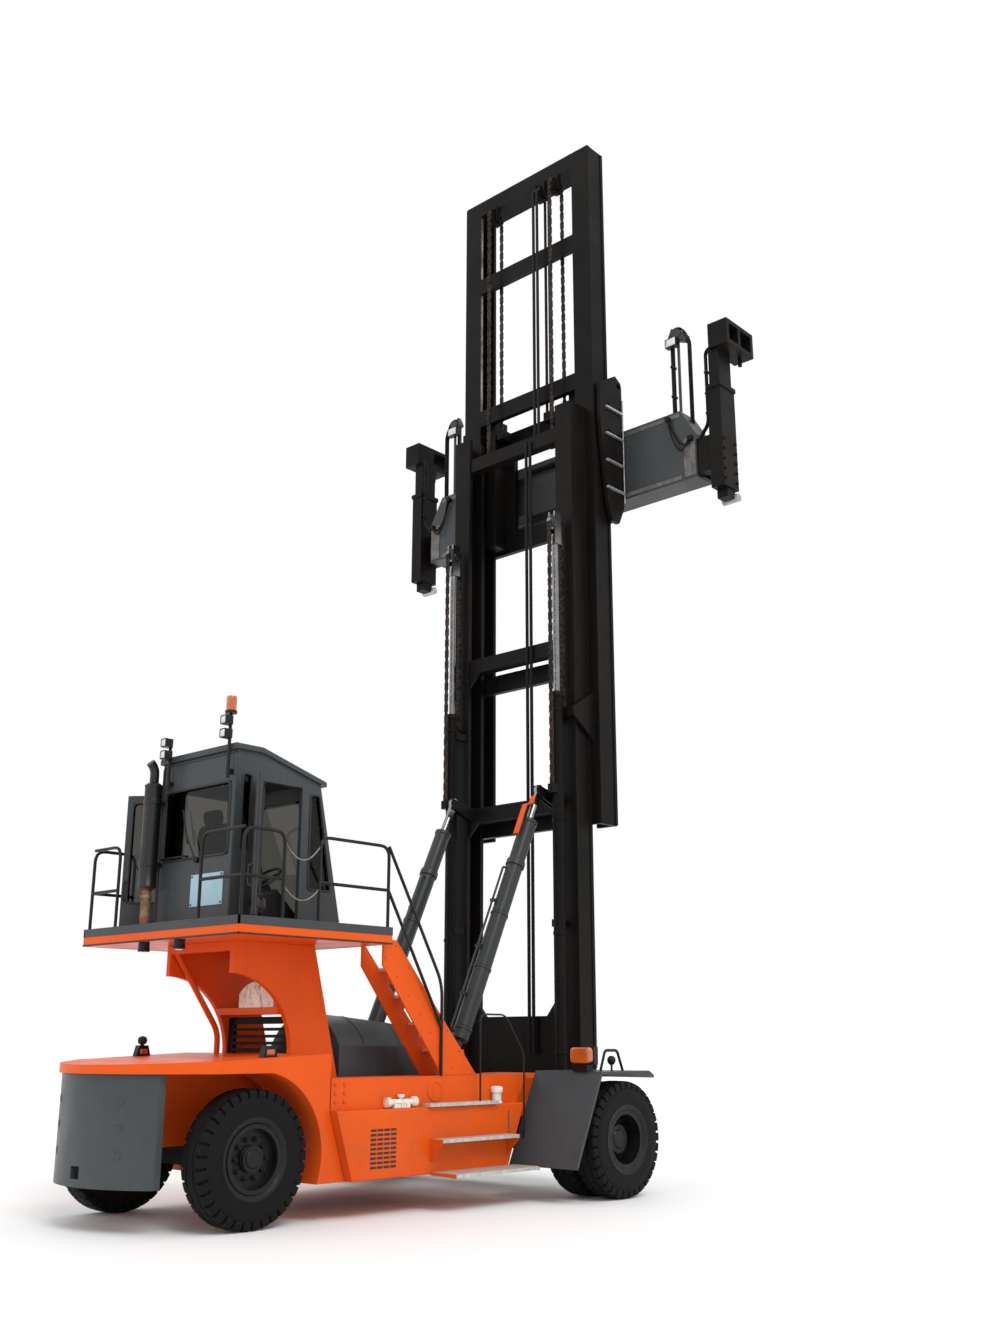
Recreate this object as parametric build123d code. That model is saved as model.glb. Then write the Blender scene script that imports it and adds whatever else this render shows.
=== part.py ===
"""Empty container handler: chassis, cab, two-stage mast and telescoping side spreader.

Frame while drawing: X forward from the front axle, Y left, Z up from the ground, millimetres.
Every piece is shifted along X at the end, so that the origin lies under the middle of the machine.
"""
import math
import os

from build123d import *

# Wheels and axles
TYRE_R = 613
TYRE_W = 315
RIM_R = 305
WHEEL_Z = TYRE_R
LUG_DEPTH = 22
BLOCKS = 30
BLOCK_SHARE = 0.8
SHOULDER = 30
WHEELBASE = 4350
REAR_X = -WHEELBASE
FRONT_OUTER_Y = 2140
TWIN_GAP = 70
REAR_OUTER_Y = 1180
RIM_RECESS = 100
KINGPIN_Y = 800
KINGPIN_R = 50
FORK_R = 78
FORK_T = 50
SPINDLE_R = 60
STUB_R = 90
STEER_DEG = 50
FIT = 0.5

# Chassis
FRAME_Y = 500
FRAME_T = 60
FRAME_OUT = FRAME_Y + FRAME_T
FRAME_TOP = 1250
FRAME_BOTTOM = 480
AXLE_ARCH_Z = 800
FRAME_REAR_X = REAR_X + 850
SPINE_Y = 330
SPINE_BOTTOM = 700
SLAB_REAR_X = REAR_X - 1120
SLAB_FRONT_X = REAR_X - 750
SLAB_Y = 800
SLAB_BOW_R = 1250
SLAB_EDGE_R = 40
SLAB_BOTTOM = 380
COVER_BOTTOM = 1360
COVER_TOP_REAR = 1440
COVER_TOP_FRONT = 1530
COVER_Y = 1200
COVER_LIP = 30
COVER_REAR_X = SLAB_REAR_X - COVER_LIP
COVER_BOW_Y = 950
COVER_SIDE_X = REAR_X - 450
TOW_R = 25
ARCH_R = 760
PANEL_Y = 620
BOX_Y = 1300
BOX_TOP = 1000
BOX_BOTTOM = 350
BAND_TOP = 1300
BOX_REAR_X = FRAME_REAR_X
BOX_FRONT_X = -770
BOX_REAR_CUT = 220
BOX_FRONT_CUT = 270
BAND_Y0 = 830
BAND_Y1 = 1200
FENDER_T = 30
FENDER_TOP = 1300
PANEL_GAP = 5

# Pedestal, platform and cab
DECK_BOTTOM = 2600
PED_REAR_X = REAR_X + 100
PED_FRONT_X = PED_REAR_X + 1030
PED_FOOT_X = FRAME_REAR_X + 10
PED_SPREAD = 370
PED_CORNER_Z = 2290
SHELF_Z = 1980
HOOD_REAR_X = PED_FRONT_X + PED_SPREAD + 10
HOOD_L = 1340
HOOD_FRONT_X = HOOD_REAR_X + HOOD_L
HOOD_SHOULDER = 1600
HOOD_CROWN = 1935
DECK_TOP = 2660
DECK_REAR_X = REAR_X - 430
DECK_L = 1950
DECK_FRONT_X = DECK_REAR_X + DECK_L
DECK_Y = 1312
KICK_H = 110
KICK_T = 12
RAIL_R = 20
RAIL_HEIGHT = 940
RAIL_TOP = DECK_TOP + RAIL_HEIGHT
RAIL_MID = DECK_TOP + RAIL_HEIGHT * 0.52
RAIL_FOOT = 110
CAB_REAR_X = DECK_REAR_X + 390
CAB_L = 1430
CAB_FRONT_X = CAB_REAR_X + CAB_L
CAB_Y = 640
WALL = 50
ROOF_Z = 4495
ROOF_BREAK_X = CAB_REAR_X + 310
ROOF_T = 60
ROOF_FRONT_X = CAB_REAR_X + 1160
ROOF_FRONT_Z = 4255
ROOF_EDGE = 30
RAKE_Z = 2820
PANE = 8
PANE_GAP = 0.3
DOOR_X0 = CAB_REAR_X + 265
DOOR_W = 592
DOOR_X1 = DOOR_X0 + DOOR_W
DOOR_Z0 = 2800
DOOR_Z1 = 4210
DOOR_T = 45
DOOR_GAP = 6
DOOR_OPEN_DEG = 130
HINGE_OUT = 16
SEAT_X = CAB_REAR_X + 530
HINGE_R = 9

# Mast
MAST_REAR_X = 520
OUTER_DEPTH = 320
OUTER_Y0 = 800
OUTER_Y1 = 1070
OUTER_WALL = 60
OUTER_FOOT = 300
OUTER_TOP = 10100
TOP_TIE_DROP = 520
TIE_H = 200
STAGE_GAP = 10
INNER_X0 = MAST_REAR_X + OUTER_DEPTH + STAGE_GAP
INNER_DEPTH = 350
INNER_X1 = INNER_X0 + INNER_DEPTH
INNER_Y0 = 900
INNER_Y1 = 1200
INNER_WALL = 50
INNER_WEB = 60
INNER_FOOT = 4300
INNER_TOP = 14300
TOP_BEAM_H = 250
SHEAVE_DROP = 440
PIVOT_X = 420
PIVOT_Z = 620
PIVOT_R = 50
LUG_Y0 = FRAME_OUT + 15
LUG_Y1 = LUG_Y0 + 70
LIFT_X = 340
LIFT_Y = 930
BARREL_R = 75
BARREL_FOOT = 1000
BARREL_TOP = 5890
ROD_R = 45
ROD_FOOT = 3200
YOKE_Z = 7970
SHEAVE_Z = 8260
SHEAVE_R = 120
YOKE_Y = 55
CHAIN_T = 30
CHAIN_W = 60
REAR_ANCHOR_Z = 4750
FRONT_ANCHOR_Z = 5760
TILT_Y = 740
TILT_EYE_X = 190
TILT_EYE_Z = 4680
TILT_FOOT_X = -1300
TILT_FOOT_Z = 1490
TILT_BARREL_R = 100
TILT_ROD_R = 50
TILT_BARREL_L = 2500
TILT_PIN_R = 35
EYE_SLACK = 6

# Carriage and spreader
ROLLER_GAP = 0.5
PLATE_X = 1230
PLATE_T = 80
CARRIAGE_Z0 = 8500
CARRIAGE_Z1 = 10400
WINDOW_Y = 560
WINDOW_LOW = 300
WINDOW_HIGH = 400
SIDE_BAR_X = 960
SIDE_BAR_Y0 = 700
SIDE_BAR_Y1 = 880
ROLLER_INSET = 190
EAR_X = 1330
EAR_UP = 130
EAR_R = 40
LEDGE_T = 25
LEDGE_OUT = 30
END_Y = 1240
END_T = 60
SHAFT_R = 40
SHAFT_X = 1370
BEAM_X0 = 1430
BEAM_X1 = 1790
BEAM_Z0 = 8850
BEAM_Z1 = 9880
BEAM_Y = 2480
BEAM_WALL = 25
BEAM_SLOPE_Y = 2250
BEAM_END_Z = 9480
ARM_Z0 = 8900
ARM_Z1 = 9400
SHAFT_INSET = 145
TOWER_Y = 2100
TOWER_H = 1250
TOWER_X = 1610
ARM_DEPTH = 150
ARM_WALL = 20
POST_Y0 = 2700
POST_Y1 = 2900
POST_X0 = 1420
POST_X1 = 1770
POST_Z0 = 8620
POST_Z1 = 10620
HEAD_X0 = 1400
HEAD_X1 = 2060
HEAD_Y0 = 2760
HEAD_Y1 = 3060
HEAD_H = 360
LOCK_X = 1920
LOCK_Y = 2927
LOCK_R = 28
LOCK_DROP = 120
COLLAR_Z = 10040
COLLAR_H = 60
COLLAR_OUT = 15
TOP_SHEAVE_R = 140
TOP_SHEAVE_X = 850
TOP_CHAIN_Y = 600
HOSE_Y = -350
HOSE_PITCH = 70
HOSE_R = 22

SIDES = {"left": 1, "right": -1}
ORIGIN_X = (COVER_REAR_X + HEAD_X1) / 2


def block(x0, x1, y0, y1, z0, z1):
    """Box between two corners."""
    size = Box(abs(x1 - x0), abs(y1 - y0), abs(z1 - z0))
    return Pos((x0 + x1) / 2, (y0 + y1) / 2, (z0 + z1) / 2) * size


def bar(start, end, radius):
    """Round bar from one point to another."""
    a, b = Vector(*start), Vector(*end)
    ends = (Align.CENTER, Align.CENTER, Align.MIN)
    return Plane(origin=a, z_dir=b - a) * Cylinder(radius, (b - a).length, align=ends)


def tube(start, end, radius, sides=8):
    """Many-sided bar from one point to another, for small tubes and hoses."""
    a, b = Vector(*start), Vector(*end)
    section = Plane(origin=a, z_dir=b - a) * RegularPolygon(radius, sides)
    return extrude(section, amount=(b - a).length, dir=b - a)


def side_plate(points, y0, y1):
    """Flat plate with an outline in X and Z, from y0 to y1."""
    face = make_face(Polyline(*[(x, min(y0, y1), z) for x, z in points], close=True))
    return extrude(face, amount=abs(y1 - y0), dir=(0, 1, 0))


def floor_plate(points, z0, z1):
    """Flat plate with an outline in X and Y, from z0 to z1."""
    face = make_face(Polyline(*[(x, y, z0) for x, y in points], close=True))
    return extrude(face, amount=z1 - z0, dir=(0, 0, 1))


def cross_plate(points, x0, x1):
    """Flat plate with an outline in Y and Z, from x0 to x1."""
    face = make_face(Polyline(*[(x0, y, z) for y, z in points], close=True))
    return extrude(face, amount=x1 - x0, dir=(1, 0, 0))


def other_side(shape):
    """The same piece on the other side of the machine."""
    return mirror(shape, about=Plane.XZ)


def both_sides(shape):
    return [shape, other_side(shape)]


def turned(shape, side):
    """A piece drawn on the left, put on the given side."""
    return shape if SIDES[side] > 0 else other_side(shape)


def apart(*shapes):
    """Solids that share a node without touching."""
    solids = []
    for shape in shapes:
        solids += list(shape.solids())
    return Compound(solids)


def spun(profile, x, z):
    """Ring about a line along Y, from (radius, y) points."""
    face = make_face(Polyline(*[(x + r, y, z) for r, y in profile], close=True))
    return revolve(face, Axis((x, 0, z), (0, 1, 0)))


# Wheels

def wheel_plane(x, y):
    """Plane across the axle line, facing left."""
    return Plane(origin=(x, y, WHEEL_Z), x_dir=(1, 0, 0), z_dir=(0, 1, 0))


def tread_outline():
    """Corner points of the tread, with a flat on each block and a groove between blocks."""
    pitch = 2 * math.pi / BLOCKS
    half = BLOCK_SHARE / 2
    corner = TYRE_R / math.cos(pitch * half)
    groove = corner - LUG_DEPTH
    corners = ((-half, groove), (-half, corner), (half, corner), (half, groove))
    points = []
    for k in range(BLOCKS):
        for share, radius in corners:
            angle = pitch * (k + 0.5 + share)
            points.append((radius * math.cos(angle), radius * math.sin(angle)))
    return points


def tyre(x, y0):
    """Tyre with a ring of tread blocks between two narrower walls."""
    tread = make_face(Polyline(*tread_outline(), close=True)) - Circle(RIM_R)
    wall = RegularPolygon(TYRE_R - LUG_DEPTH - SHOULDER, BLOCKS) - Circle(RIM_R)
    body = extrude(wheel_plane(x, y0 + SHOULDER) * tread, amount=TYRE_W - 2 * SHOULDER)
    for y in (y0, y0 + TYRE_W - SHOULDER):
        body += extrude(wheel_plane(x, y) * wall, amount=SHOULDER)
    return body


def front_tyres():
    outer = tyre(0, FRONT_OUTER_Y - TYRE_W)
    inner = tyre(0, FRONT_OUTER_Y - 2 * TYRE_W - TWIN_GAP)
    return apart(outer, inner)


def front_rims():
    """Two rims and the hub drum that carries them."""
    y1 = FRONT_OUTER_Y
    y0 = FRONT_OUTER_Y - 2 * TYRE_W - TWIN_GAP
    disc = y1 - TYRE_W + 60
    skin = 30
    well = RIM_R - 45
    profile = [(STUB_R + FIT, y0 - 20), (190, y0 - 20), (190, disc), (well, disc), (well, y0 + 20),
               (RIM_R, y0 + 20), (RIM_R, y1 - 25), (well, y1 - 25), (well, disc + skin),
               (150, disc + skin), (150, disc + 130), (STUB_R + FIT, disc + 130)]
    return spun(profile, 0, WHEEL_Z)


def rear_rim():
    """Rim with a recessed disc and a hub on the spindle."""
    y1 = REAR_OUTER_Y
    y0 = y1 - TYRE_W
    disc = y1 - RIM_RECESS
    well = RIM_R - 40
    hub = SPINDLE_R + 55
    bore = SPINDLE_R + FIT
    profile = [(bore, y0 + 90), (hub, y0 + 90), (hub, disc - 30), (well, disc - 30), (well, y0 + 5),
               (RIM_R, y0 + 5), (RIM_R, y1 - 15), (well, y1 - 15), (well, disc), (hub, disc),
               (hub, disc + 60), (bore, disc + 60)]
    return spun(profile, REAR_X, WHEEL_Z)


def rear_tyre():
    return tyre(REAR_X, REAR_OUTER_Y - TYRE_W)


def knuckle():
    """Kingpin, fork arms and spindle of one steered wheel."""
    low, high = WHEEL_Z - 167, WHEEL_Z + 167
    pin = bar((REAR_X, KINGPIN_Y, low - 6), (REAR_X, KINGPIN_Y, high + 10), KINGPIN_R)
    plate_y0 = KINGPIN_Y + FORK_R + 8
    plate_y1 = plate_y0 + 55
    fork = block(REAR_X - 80, REAR_X + 80, plate_y0, plate_y1, low, high)
    for z0, z1 in ((low, low + FORK_T), (high - FORK_T, high)):
        fork += block(REAR_X - 70, REAR_X + 70, KINGPIN_Y, plate_y1, z0, z1)
        fork += bar((REAR_X, KINGPIN_Y, z0), (REAR_X, KINGPIN_Y, z1), FORK_R)
    spindle_end = REAR_OUTER_Y - RIM_RECESS + 40
    spindle = bar((REAR_X, plate_y1 - 1, WHEEL_Z), (REAR_X, spindle_end, WHEEL_Z), SPINDLE_R)
    return fork + pin + spindle


def steer_axle():
    """Beam under the rear spine with an eye for each kingpin."""
    low, high = WHEEL_Z - 167 + FORK_T + 4, WHEEL_Z + 167 - FORK_T - 4
    root = KINGPIN_Y - 180
    beam = block(REAR_X - 120, REAR_X + 120, -root, root, low + 20, SPINE_BOTTOM)
    for sign in SIDES.values():
        y = sign * KINGPIN_Y
        beam += block(REAR_X - 60, REAR_X + 60, sign * (root - 20), y, low + 20, SPINE_BOTTOM)
        beam += bar((REAR_X, y, low), (REAR_X, y, high), FORK_R)
        beam -= bar((REAR_X, y, low - 10), (REAR_X, y, high + 10), KINGPIN_R + FIT)
    return beam


def front_axle():
    """Drive axle: housing with a differential, seats under the frame and a stub at each end."""
    hub_y = FRONT_OUTER_Y - 2 * TYRE_W - TWIN_GAP - 25
    stub_end = FRONT_OUTER_Y - TYRE_W
    half = [(0, -1), (260, -1), (260, 170), (170, 330), (170, 1050), (130, 1150), (130, hub_y),
            (STUB_R, hub_y), (STUB_R, stub_end), (0, stub_end)]
    half = spun(half, 0, WHEEL_Z)
    axle = half + other_side(half)
    for sign in SIDES.values():
        axle += block(-120, 120, sign * FRAME_Y, sign * FRAME_OUT, WHEEL_Z + 100, AXLE_ARCH_Z)
    return axle


# Chassis

def chassis_frame():
    """Two side plates, cross members, the rear spine, and the mast and tilt brackets."""
    arch, nose = AXLE_ARCH_Z, PIVOT_X + 110
    outline = [(FRAME_REAR_X, FRAME_BOTTOM), (-700, FRAME_BOTTOM), (-300, arch), (PIVOT_X - 190, arch),
               (PIVOT_X - 120, PIVOT_Z - 100), (nose, PIVOT_Z - 100), (nose, PIVOT_Z + 140),
               (PIVOT_X - 20, FRAME_TOP), (FRAME_REAR_X, FRAME_TOP)]
    plate = side_plate(outline, FRAME_Y, FRAME_OUT)
    frame = plate + other_side(plate)
    members = (
        # rear x, front x, lower z
        (FRAME_REAR_X, FRAME_REAR_X + 120, FRAME_BOTTOM + 80),
        (TILT_FOOT_X - 120, TILT_FOOT_X + 120, FRAME_BOTTOM + 120),
        (-330, -250, AXLE_ARCH_Z + 30),
    )
    for x0, x1, z0 in members:
        frame += block(x0, x1, -FRAME_Y, FRAME_Y, z0, FRAME_TOP)
    frame += block(SLAB_FRONT_X, FRAME_REAR_X + 10, -SPINE_Y, SPINE_Y, SPINE_BOTTOM, COVER_BOTTOM)
    frame += block(FRAME_REAR_X - 60, FRAME_REAR_X + 10, -FRAME_OUT, FRAME_OUT, SPINE_BOTTOM, FRAME_TOP)
    bracket = tilt_bracket()
    frame += bracket + other_side(bracket)
    for sign in SIDES.values():
        y0, y1 = sign * (FRAME_Y - 40), sign * (LUG_Y1 + 15)
        frame += bar((PIVOT_X, y0, PIVOT_Z), (PIVOT_X, y1, PIVOT_Z), PIVOT_R)
        for x0, y1 in ((-620, BAND_Y1), (-400, BOX_Y)):
            frame += block(x0, -250, sign * FRAME_Y, sign * y1, FRAME_TOP, BAND_TOP)
    return frame


def tilt_bracket():
    """Shelf on the left frame plate with two ears and the lower pin of the tilt cylinder."""
    x, z, shelf = TILT_FOOT_X, TILT_FOOT_Z, TILT_FOOT_Z - 170
    body = block(x - 150, x + 150, FRAME_OUT - 5, TILT_Y + 86, shelf - 170, shelf)
    for y in (TILT_Y - 62, TILT_Y + 62):
        ear = [(x - 140, shelf - 10), (x + 140, shelf - 10), (x + 70, z + 70), (x - 70, z + 70)]
        body += side_plate(ear, y - 12, y + 12)
    return body + bar((x, TILT_Y - 74, z), (x, TILT_Y + 74, z), TILT_PIN_R)


def bowed(rear_x, radius, half):
    """Rear edge in plan: an arc of a given radius, as far as half a width to each side."""
    end = rear_x + radius - (radius**2 - half**2) ** 0.5
    return ThreePointArc((end, half, 0), (rear_x, 0, 0), (end, -half, 0))


def counterweight():
    """Rear slab that bows out for the tail swing, with rounded upright edges and a towing recess."""
    arc = bowed(SLAB_REAR_X, SLAB_BOW_R, SLAB_Y)
    sides = Polyline(arc @ 1, (SLAB_FRONT_X, -SLAB_Y, 0), (SLAB_FRONT_X, SLAB_Y, 0), arc @ 0)
    height = COVER_BOTTOM - SLAB_BOTTOM
    slab = Pos(0, 0, SLAB_BOTTOM) * extrude(make_face([arc, sides]), amount=height, dir=(0, 0, 1))
    upright = slab.edges().filter_by(Axis.Z).group_by(Axis.X)[0]
    slab = fillet(upright, SLAB_EDGE_R)
    slab -= block(SLAB_REAR_X - 10, SLAB_REAR_X + 110, -70, 70, 450, 560)
    slab -= bar((SLAB_REAR_X + 60, 0, SLAB_BOTTOM - 10), (SLAB_REAR_X + 60, 0, 620), TOW_R)
    return slab


def rear_cover():
    """Sloping cover over the rear wheels, with a deep panel curved round the front of each wheel."""
    arc = bowed(COVER_REAR_X, SLAB_BOW_R + COVER_LIP, COVER_BOW_Y)
    sides = Polyline(arc @ 1, (COVER_SIDE_X, -COVER_Y, 0), (FRAME_REAR_X, -COVER_Y, 0),
                     (FRAME_REAR_X, COVER_Y, 0), (COVER_SIDE_X, COVER_Y, 0), arc @ 0)
    plan = extrude(make_face([arc, sides]), amount=COVER_TOP_FRONT + 10, dir=(0, 0, 1))
    rear = COVER_REAR_X - 10
    outline = [(rear, COVER_BOTTOM), (FRAME_REAR_X, COVER_BOTTOM), (FRAME_REAR_X, COVER_TOP_FRONT),
               (rear, cover_top(rear))]
    cover = plan & side_plate(outline, -COVER_Y - 10, COVER_Y + 10)
    edge = BOX_REAR_X - PANEL_GAP
    top = COVER_BOTTOM + 20
    panel = [(REAR_X, BOX_BOTTOM), (edge + BOX_REAR_CUT, BOX_BOTTOM), (edge, BOX_TOP), (edge, top),
             (REAR_X, top)]
    panel = side_plate(panel, PANEL_Y, COVER_Y)
    panel -= bar((REAR_X, PANEL_Y - 10, WHEEL_Z), (REAR_X, COVER_Y + 10, WHEEL_Z), ARCH_R)
    panel -= block(REAR_X - ARCH_R, REAR_X + 10, PANEL_Y - 10, COVER_Y + 10, 0, COVER_BOTTOM)
    return cover + panel + other_side(panel)


def side_box():
    """Tank and locker box beside the frame, with its ends cut back towards the bottom."""
    outline = [(BOX_REAR_X + BOX_REAR_CUT, BOX_BOTTOM), (BOX_FRONT_X - BOX_FRONT_CUT, BOX_BOTTOM),
               (BOX_FRONT_X, BOX_TOP), (BOX_REAR_X, BOX_TOP)]
    body = side_plate(outline, FRAME_OUT, BOX_Y)
    body = fillet(body.edges().filter_by(Axis.X).group_by(Axis.Y)[-1], 18)
    rear, front = BOX_REAR_X + 10, BOX_FRONT_X + 10
    band = [(rear, BOX_TOP), (front, BOX_TOP), (front + 135, BAND_TOP), (rear, BAND_TOP)]
    return body + side_plate(band, BAND_Y0, BAND_Y1)


STEP_TABLE = (
    # x0, x1, inner y, outer y, top z
    (BOX_FRONT_X - 1500, BOX_FRONT_X - 460, BAND_Y1 + 5, BOX_Y + 45, BOX_TOP + 35),
    (BOX_FRONT_X - 1450, BOX_FRONT_X - 290, BOX_Y, BOX_Y + 180, BOX_TOP - 310),
    (BOX_FRONT_X - 1440, BOX_FRONT_X - 180, BOX_Y, BOX_Y + 360, BOX_BOTTOM + 20),
)


def step_treads():
    """Aluminium treads of the side steps and of the stairs, on the right."""
    treads = []
    for x0, x1, y0, y1, z in STEP_TABLE:
        treads.append(block(x0, x1, -y0, -y1, z - 35, z))
    for x0, z in stair_steps():
        treads.append(block(x0, x0 + STAIR_GOING, -STAIR_Y0, -STAIR_Y1, z - 30, z))
    return apart(*treads)


STAIR_Y0 = 860
STAIR_Y1 = 1160
STAIR_T = 20
STAIR_COUNT = 4
STAIR_GOING = 200
STAIR_TOP_X = DECK_FRONT_X
STAIR_RUN = 1110
STAIR_FOOT_X = STAIR_TOP_X + STAIR_RUN


def stair_steps():
    """Rear edge and height of each stair tread."""
    rise = (DECK_TOP - BAND_TOP) / (STAIR_COUNT + 1)
    run = STAIR_RUN / (STAIR_COUNT + 1)
    return [(STAIR_TOP_X + run * k + 20, DECK_TOP - rise * k) for k in range(1, STAIR_COUNT + 1)]


def stair_stringers():
    """Two stringers from the platform down to the band beside the hood, and the side step brackets."""
    pieces = []
    for y in (STAIR_Y0 - STAIR_T, STAIR_Y1):
        outline = [(STAIR_TOP_X, DECK_TOP), (STAIR_TOP_X, DECK_TOP - 260), (STAIR_FOOT_X - 220, BAND_TOP),
                   (STAIR_FOOT_X + 60, BAND_TOP), (STAIR_FOOT_X + 60, BAND_TOP + 60)]
        pieces.append(side_plate(outline, -y, -(y + STAIR_T)))
    for x0, x1, y0, y1, z in STEP_TABLE[1:]:
        root = max(z - 220, BOX_BOTTOM)
        ear = [(-BOX_Y, z), (-y1, z), (-y1, z - 40), (-BOX_Y, root)]
        for x in (x0 - 15, x1):
            pieces.append(cross_plate(ear, x, x + 15))
    return apart(*pieces)


def pedestal():
    """Two side plates with a hollow rear edge, a cross beam and the frame under the platform."""
    top = DECK_BOTTOM
    corner = (PED_REAR_X, 0, PED_CORNER_Z)
    foot = (PED_FOOT_X, 0, FRAME_TOP + 330)
    arc = ThreePointArc(corner, (PED_REAR_X + 530, 0, PED_CORNER_Z - 210), foot)
    toe = (PED_FRONT_X + PED_SPREAD, 0, FRAME_TOP)
    rest = Polyline(foot, (PED_FOOT_X, 0, FRAME_TOP), toe, (PED_FRONT_X, 0, top), (PED_REAR_X, 0, top))
    face = make_face([Line((PED_REAR_X, 0, top), corner), arc, rest])
    plate = Pos(0, FRAME_Y, 0) * extrude(face, amount=FRAME_T, dir=(0, 1, 0))
    stand = plate + other_side(plate)
    stand += block(PED_FOOT_X - 150, PED_FOOT_X + 20, -FRAME_Y, FRAME_Y, SHELF_Z - 70, SHELF_Z)
    for x0 in (PED_REAR_X, PED_FRONT_X - 140):
        stand += block(x0, x0 + 100, -FRAME_Y, FRAME_Y, top - 90, top)
    return stand


def engine_hood():
    """Barrel-shaped hood: an arched section run along the machine, cut on a slope at the front."""
    y, low = FRAME_OUT, FRAME_TOP
    arch = [Polyline((HOOD_REAR_X, -y, HOOD_SHOULDER), (HOOD_REAR_X, -y, low), (HOOD_REAR_X, y, low),
                     (HOOD_REAR_X, y, HOOD_SHOULDER)),
            ThreePointArc((HOOD_REAR_X, y, HOOD_SHOULDER), (HOOD_REAR_X, 0, HOOD_CROWN),
                          (HOOD_REAR_X, -y, HOOD_SHOULDER))]
    barrel = extrude(make_face(arch), amount=HOOD_FRONT_X - HOOD_REAR_X, dir=(1, 0, 0))
    nose = [(HOOD_REAR_X, low), (HOOD_FRONT_X, low), (HOOD_FRONT_X - 40, low + 250),
            (HOOD_FRONT_X - 300, HOOD_CROWN - 110), (HOOD_REAR_X, HOOD_CROWN + 10)]
    return barrel & side_plate(nose, -y - 10, y + 10)


def engine_block():
    """Engine and transmission as one plain mass between the frame plates."""
    y = FRAME_Y - 120
    return block(HOOD_REAR_X - 160, HOOD_FRONT_X + 80, -y, y, FRAME_BOTTOM + 80, FRAME_TOP - 20)


def radiator_grille():
    """Louvred guard behind the pedestal."""
    x0, x1, z0, z1 = PED_FOOT_X + 25, PED_FOOT_X + 70, FRAME_TOP, SHELF_Z - 90
    guard = block(x0, x1, -FRAME_Y, FRAME_Y, z0, z1)
    slots = 7
    pitch = (z1 - z0 - 160) / slots
    for k in range(slots):
        z = z0 + 120 + pitch * k
        guard -= block(x0 - 10, x1 + 10, 80 - FRAME_Y, FRAME_Y - 80, z, z + pitch * 0.55)
    return guard


def intake_box():
    """Battered intake box with an arched top on the cross beam."""
    y0, y1, low = -440, 120, SHELF_Z
    side, crown = low + 140, low + 260
    profile = [Polyline((0, y1, side), (0, y1, low), (0, y0, low), (0, y0, side)),
               ThreePointArc((0, y0, side), (0, (y0 + y1) / 2, crown), (0, y1, side))]
    return Pos(PED_FOOT_X - 148, 0, 0) * extrude(make_face(profile), amount=165, dir=(1, 0, 0))


def platform():
    """Deck plate with kick plates along its edges."""
    deck = block(DECK_REAR_X, DECK_FRONT_X, -DECK_Y, DECK_Y, DECK_BOTTOM, DECK_TOP)
    top = DECK_TOP + KICK_H
    deck += block(DECK_REAR_X, DECK_REAR_X + KICK_T, -DECK_Y, DECK_Y, DECK_TOP, top)
    for sign in SIDES.values():
        deck += block(DECK_REAR_X, DECK_FRONT_X, sign * (DECK_Y - KICK_T), sign * DECK_Y, DECK_TOP, top)
    deck += block(DECK_FRONT_X - KICK_T, DECK_FRONT_X, -STAIR_Y0 + STAIR_T, DECK_Y, DECK_TOP, top)
    return deck


RAIL_Y = DECK_Y - 34
RAIL_REAR_X = DECK_REAR_X + 40
RAIL_FRONT_X = DECK_FRONT_X - 40
GAP_REAR_X = DOOR_X0 - 125
GAP_FRONT_X = DOOR_X0 + 325
RAIL_RUNS = (
    # x0, y0, x1, y1 of each railing panel, on the inside of the kick plates
    (RAIL_REAR_X, -RAIL_Y, GAP_REAR_X, -RAIL_Y),
    (GAP_FRONT_X, -RAIL_Y, RAIL_FRONT_X, -RAIL_Y),
    (RAIL_REAR_X, -RAIL_Y, RAIL_REAR_X, -620),
    (RAIL_REAR_X, RAIL_Y, RAIL_REAR_X, 800),
    (RAIL_REAR_X, RAIL_Y, GAP_REAR_X, RAIL_Y),
    (GAP_FRONT_X, RAIL_Y, RAIL_FRONT_X, RAIL_Y),
)


def railings():
    """Tube railings round the platform and down the stairs, on flat feet."""
    tubes = []
    for x0, y0, x1, y1 in RAIL_RUNS:
        for x, y in ((x0, y0), (x1, y1)):
            tubes.append(tube((x, y, DECK_TOP), (x, y, RAIL_TOP), RAIL_R))
            tubes.append(block(x - 28, x + 28, y - 22, y + 22, DECK_TOP, DECK_TOP + RAIL_FOOT))
        for z in (RAIL_TOP, RAIL_MID):
            tubes.append(tube((x0, y0, z), (x1, y1, z), RAIL_R))
    post_x, post_y = STAIR_FOOT_X - 260, -(STAIR_Y1 + STAIR_T + RAIL_R)
    post_top = BAND_TOP + RAIL_HEIGHT
    for start, end in ((RAIL_TOP, post_top), (RAIL_MID, BAND_TOP + RAIL_HEIGHT * 0.52)):
        tubes.append(tube((RAIL_FRONT_X, -RAIL_Y, start), (post_x, post_y, end), RAIL_R))
    tubes.append(tube((post_x, post_y, BAND_TOP), (post_x, post_y, post_top), RAIL_R))
    frame = tubes[0]
    for piece in tubes[1:]:
        frame += piece
    return apart(frame)


# Cab

def roof_under(x):
    """Height of the roof's underside at a place along the cab."""
    if x <= ROOF_BREAK_X:
        return ROOF_Z
    share = (x - ROOF_BREAK_X) / (ROOF_FRONT_X - ROOF_BREAK_X)
    return ROOF_Z + share * (ROOF_FRONT_Z - ROOF_Z)


FRONT_TOP_X = CAB_REAR_X + 1100


def rake_x(z):
    """Place of the raked front's outer face at a height."""
    share = max(0.0, (z - RAKE_Z) / (roof_under(FRONT_TOP_X) - RAKE_Z))
    return CAB_FRONT_X + share * (FRONT_TOP_X - CAB_FRONT_X)


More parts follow.
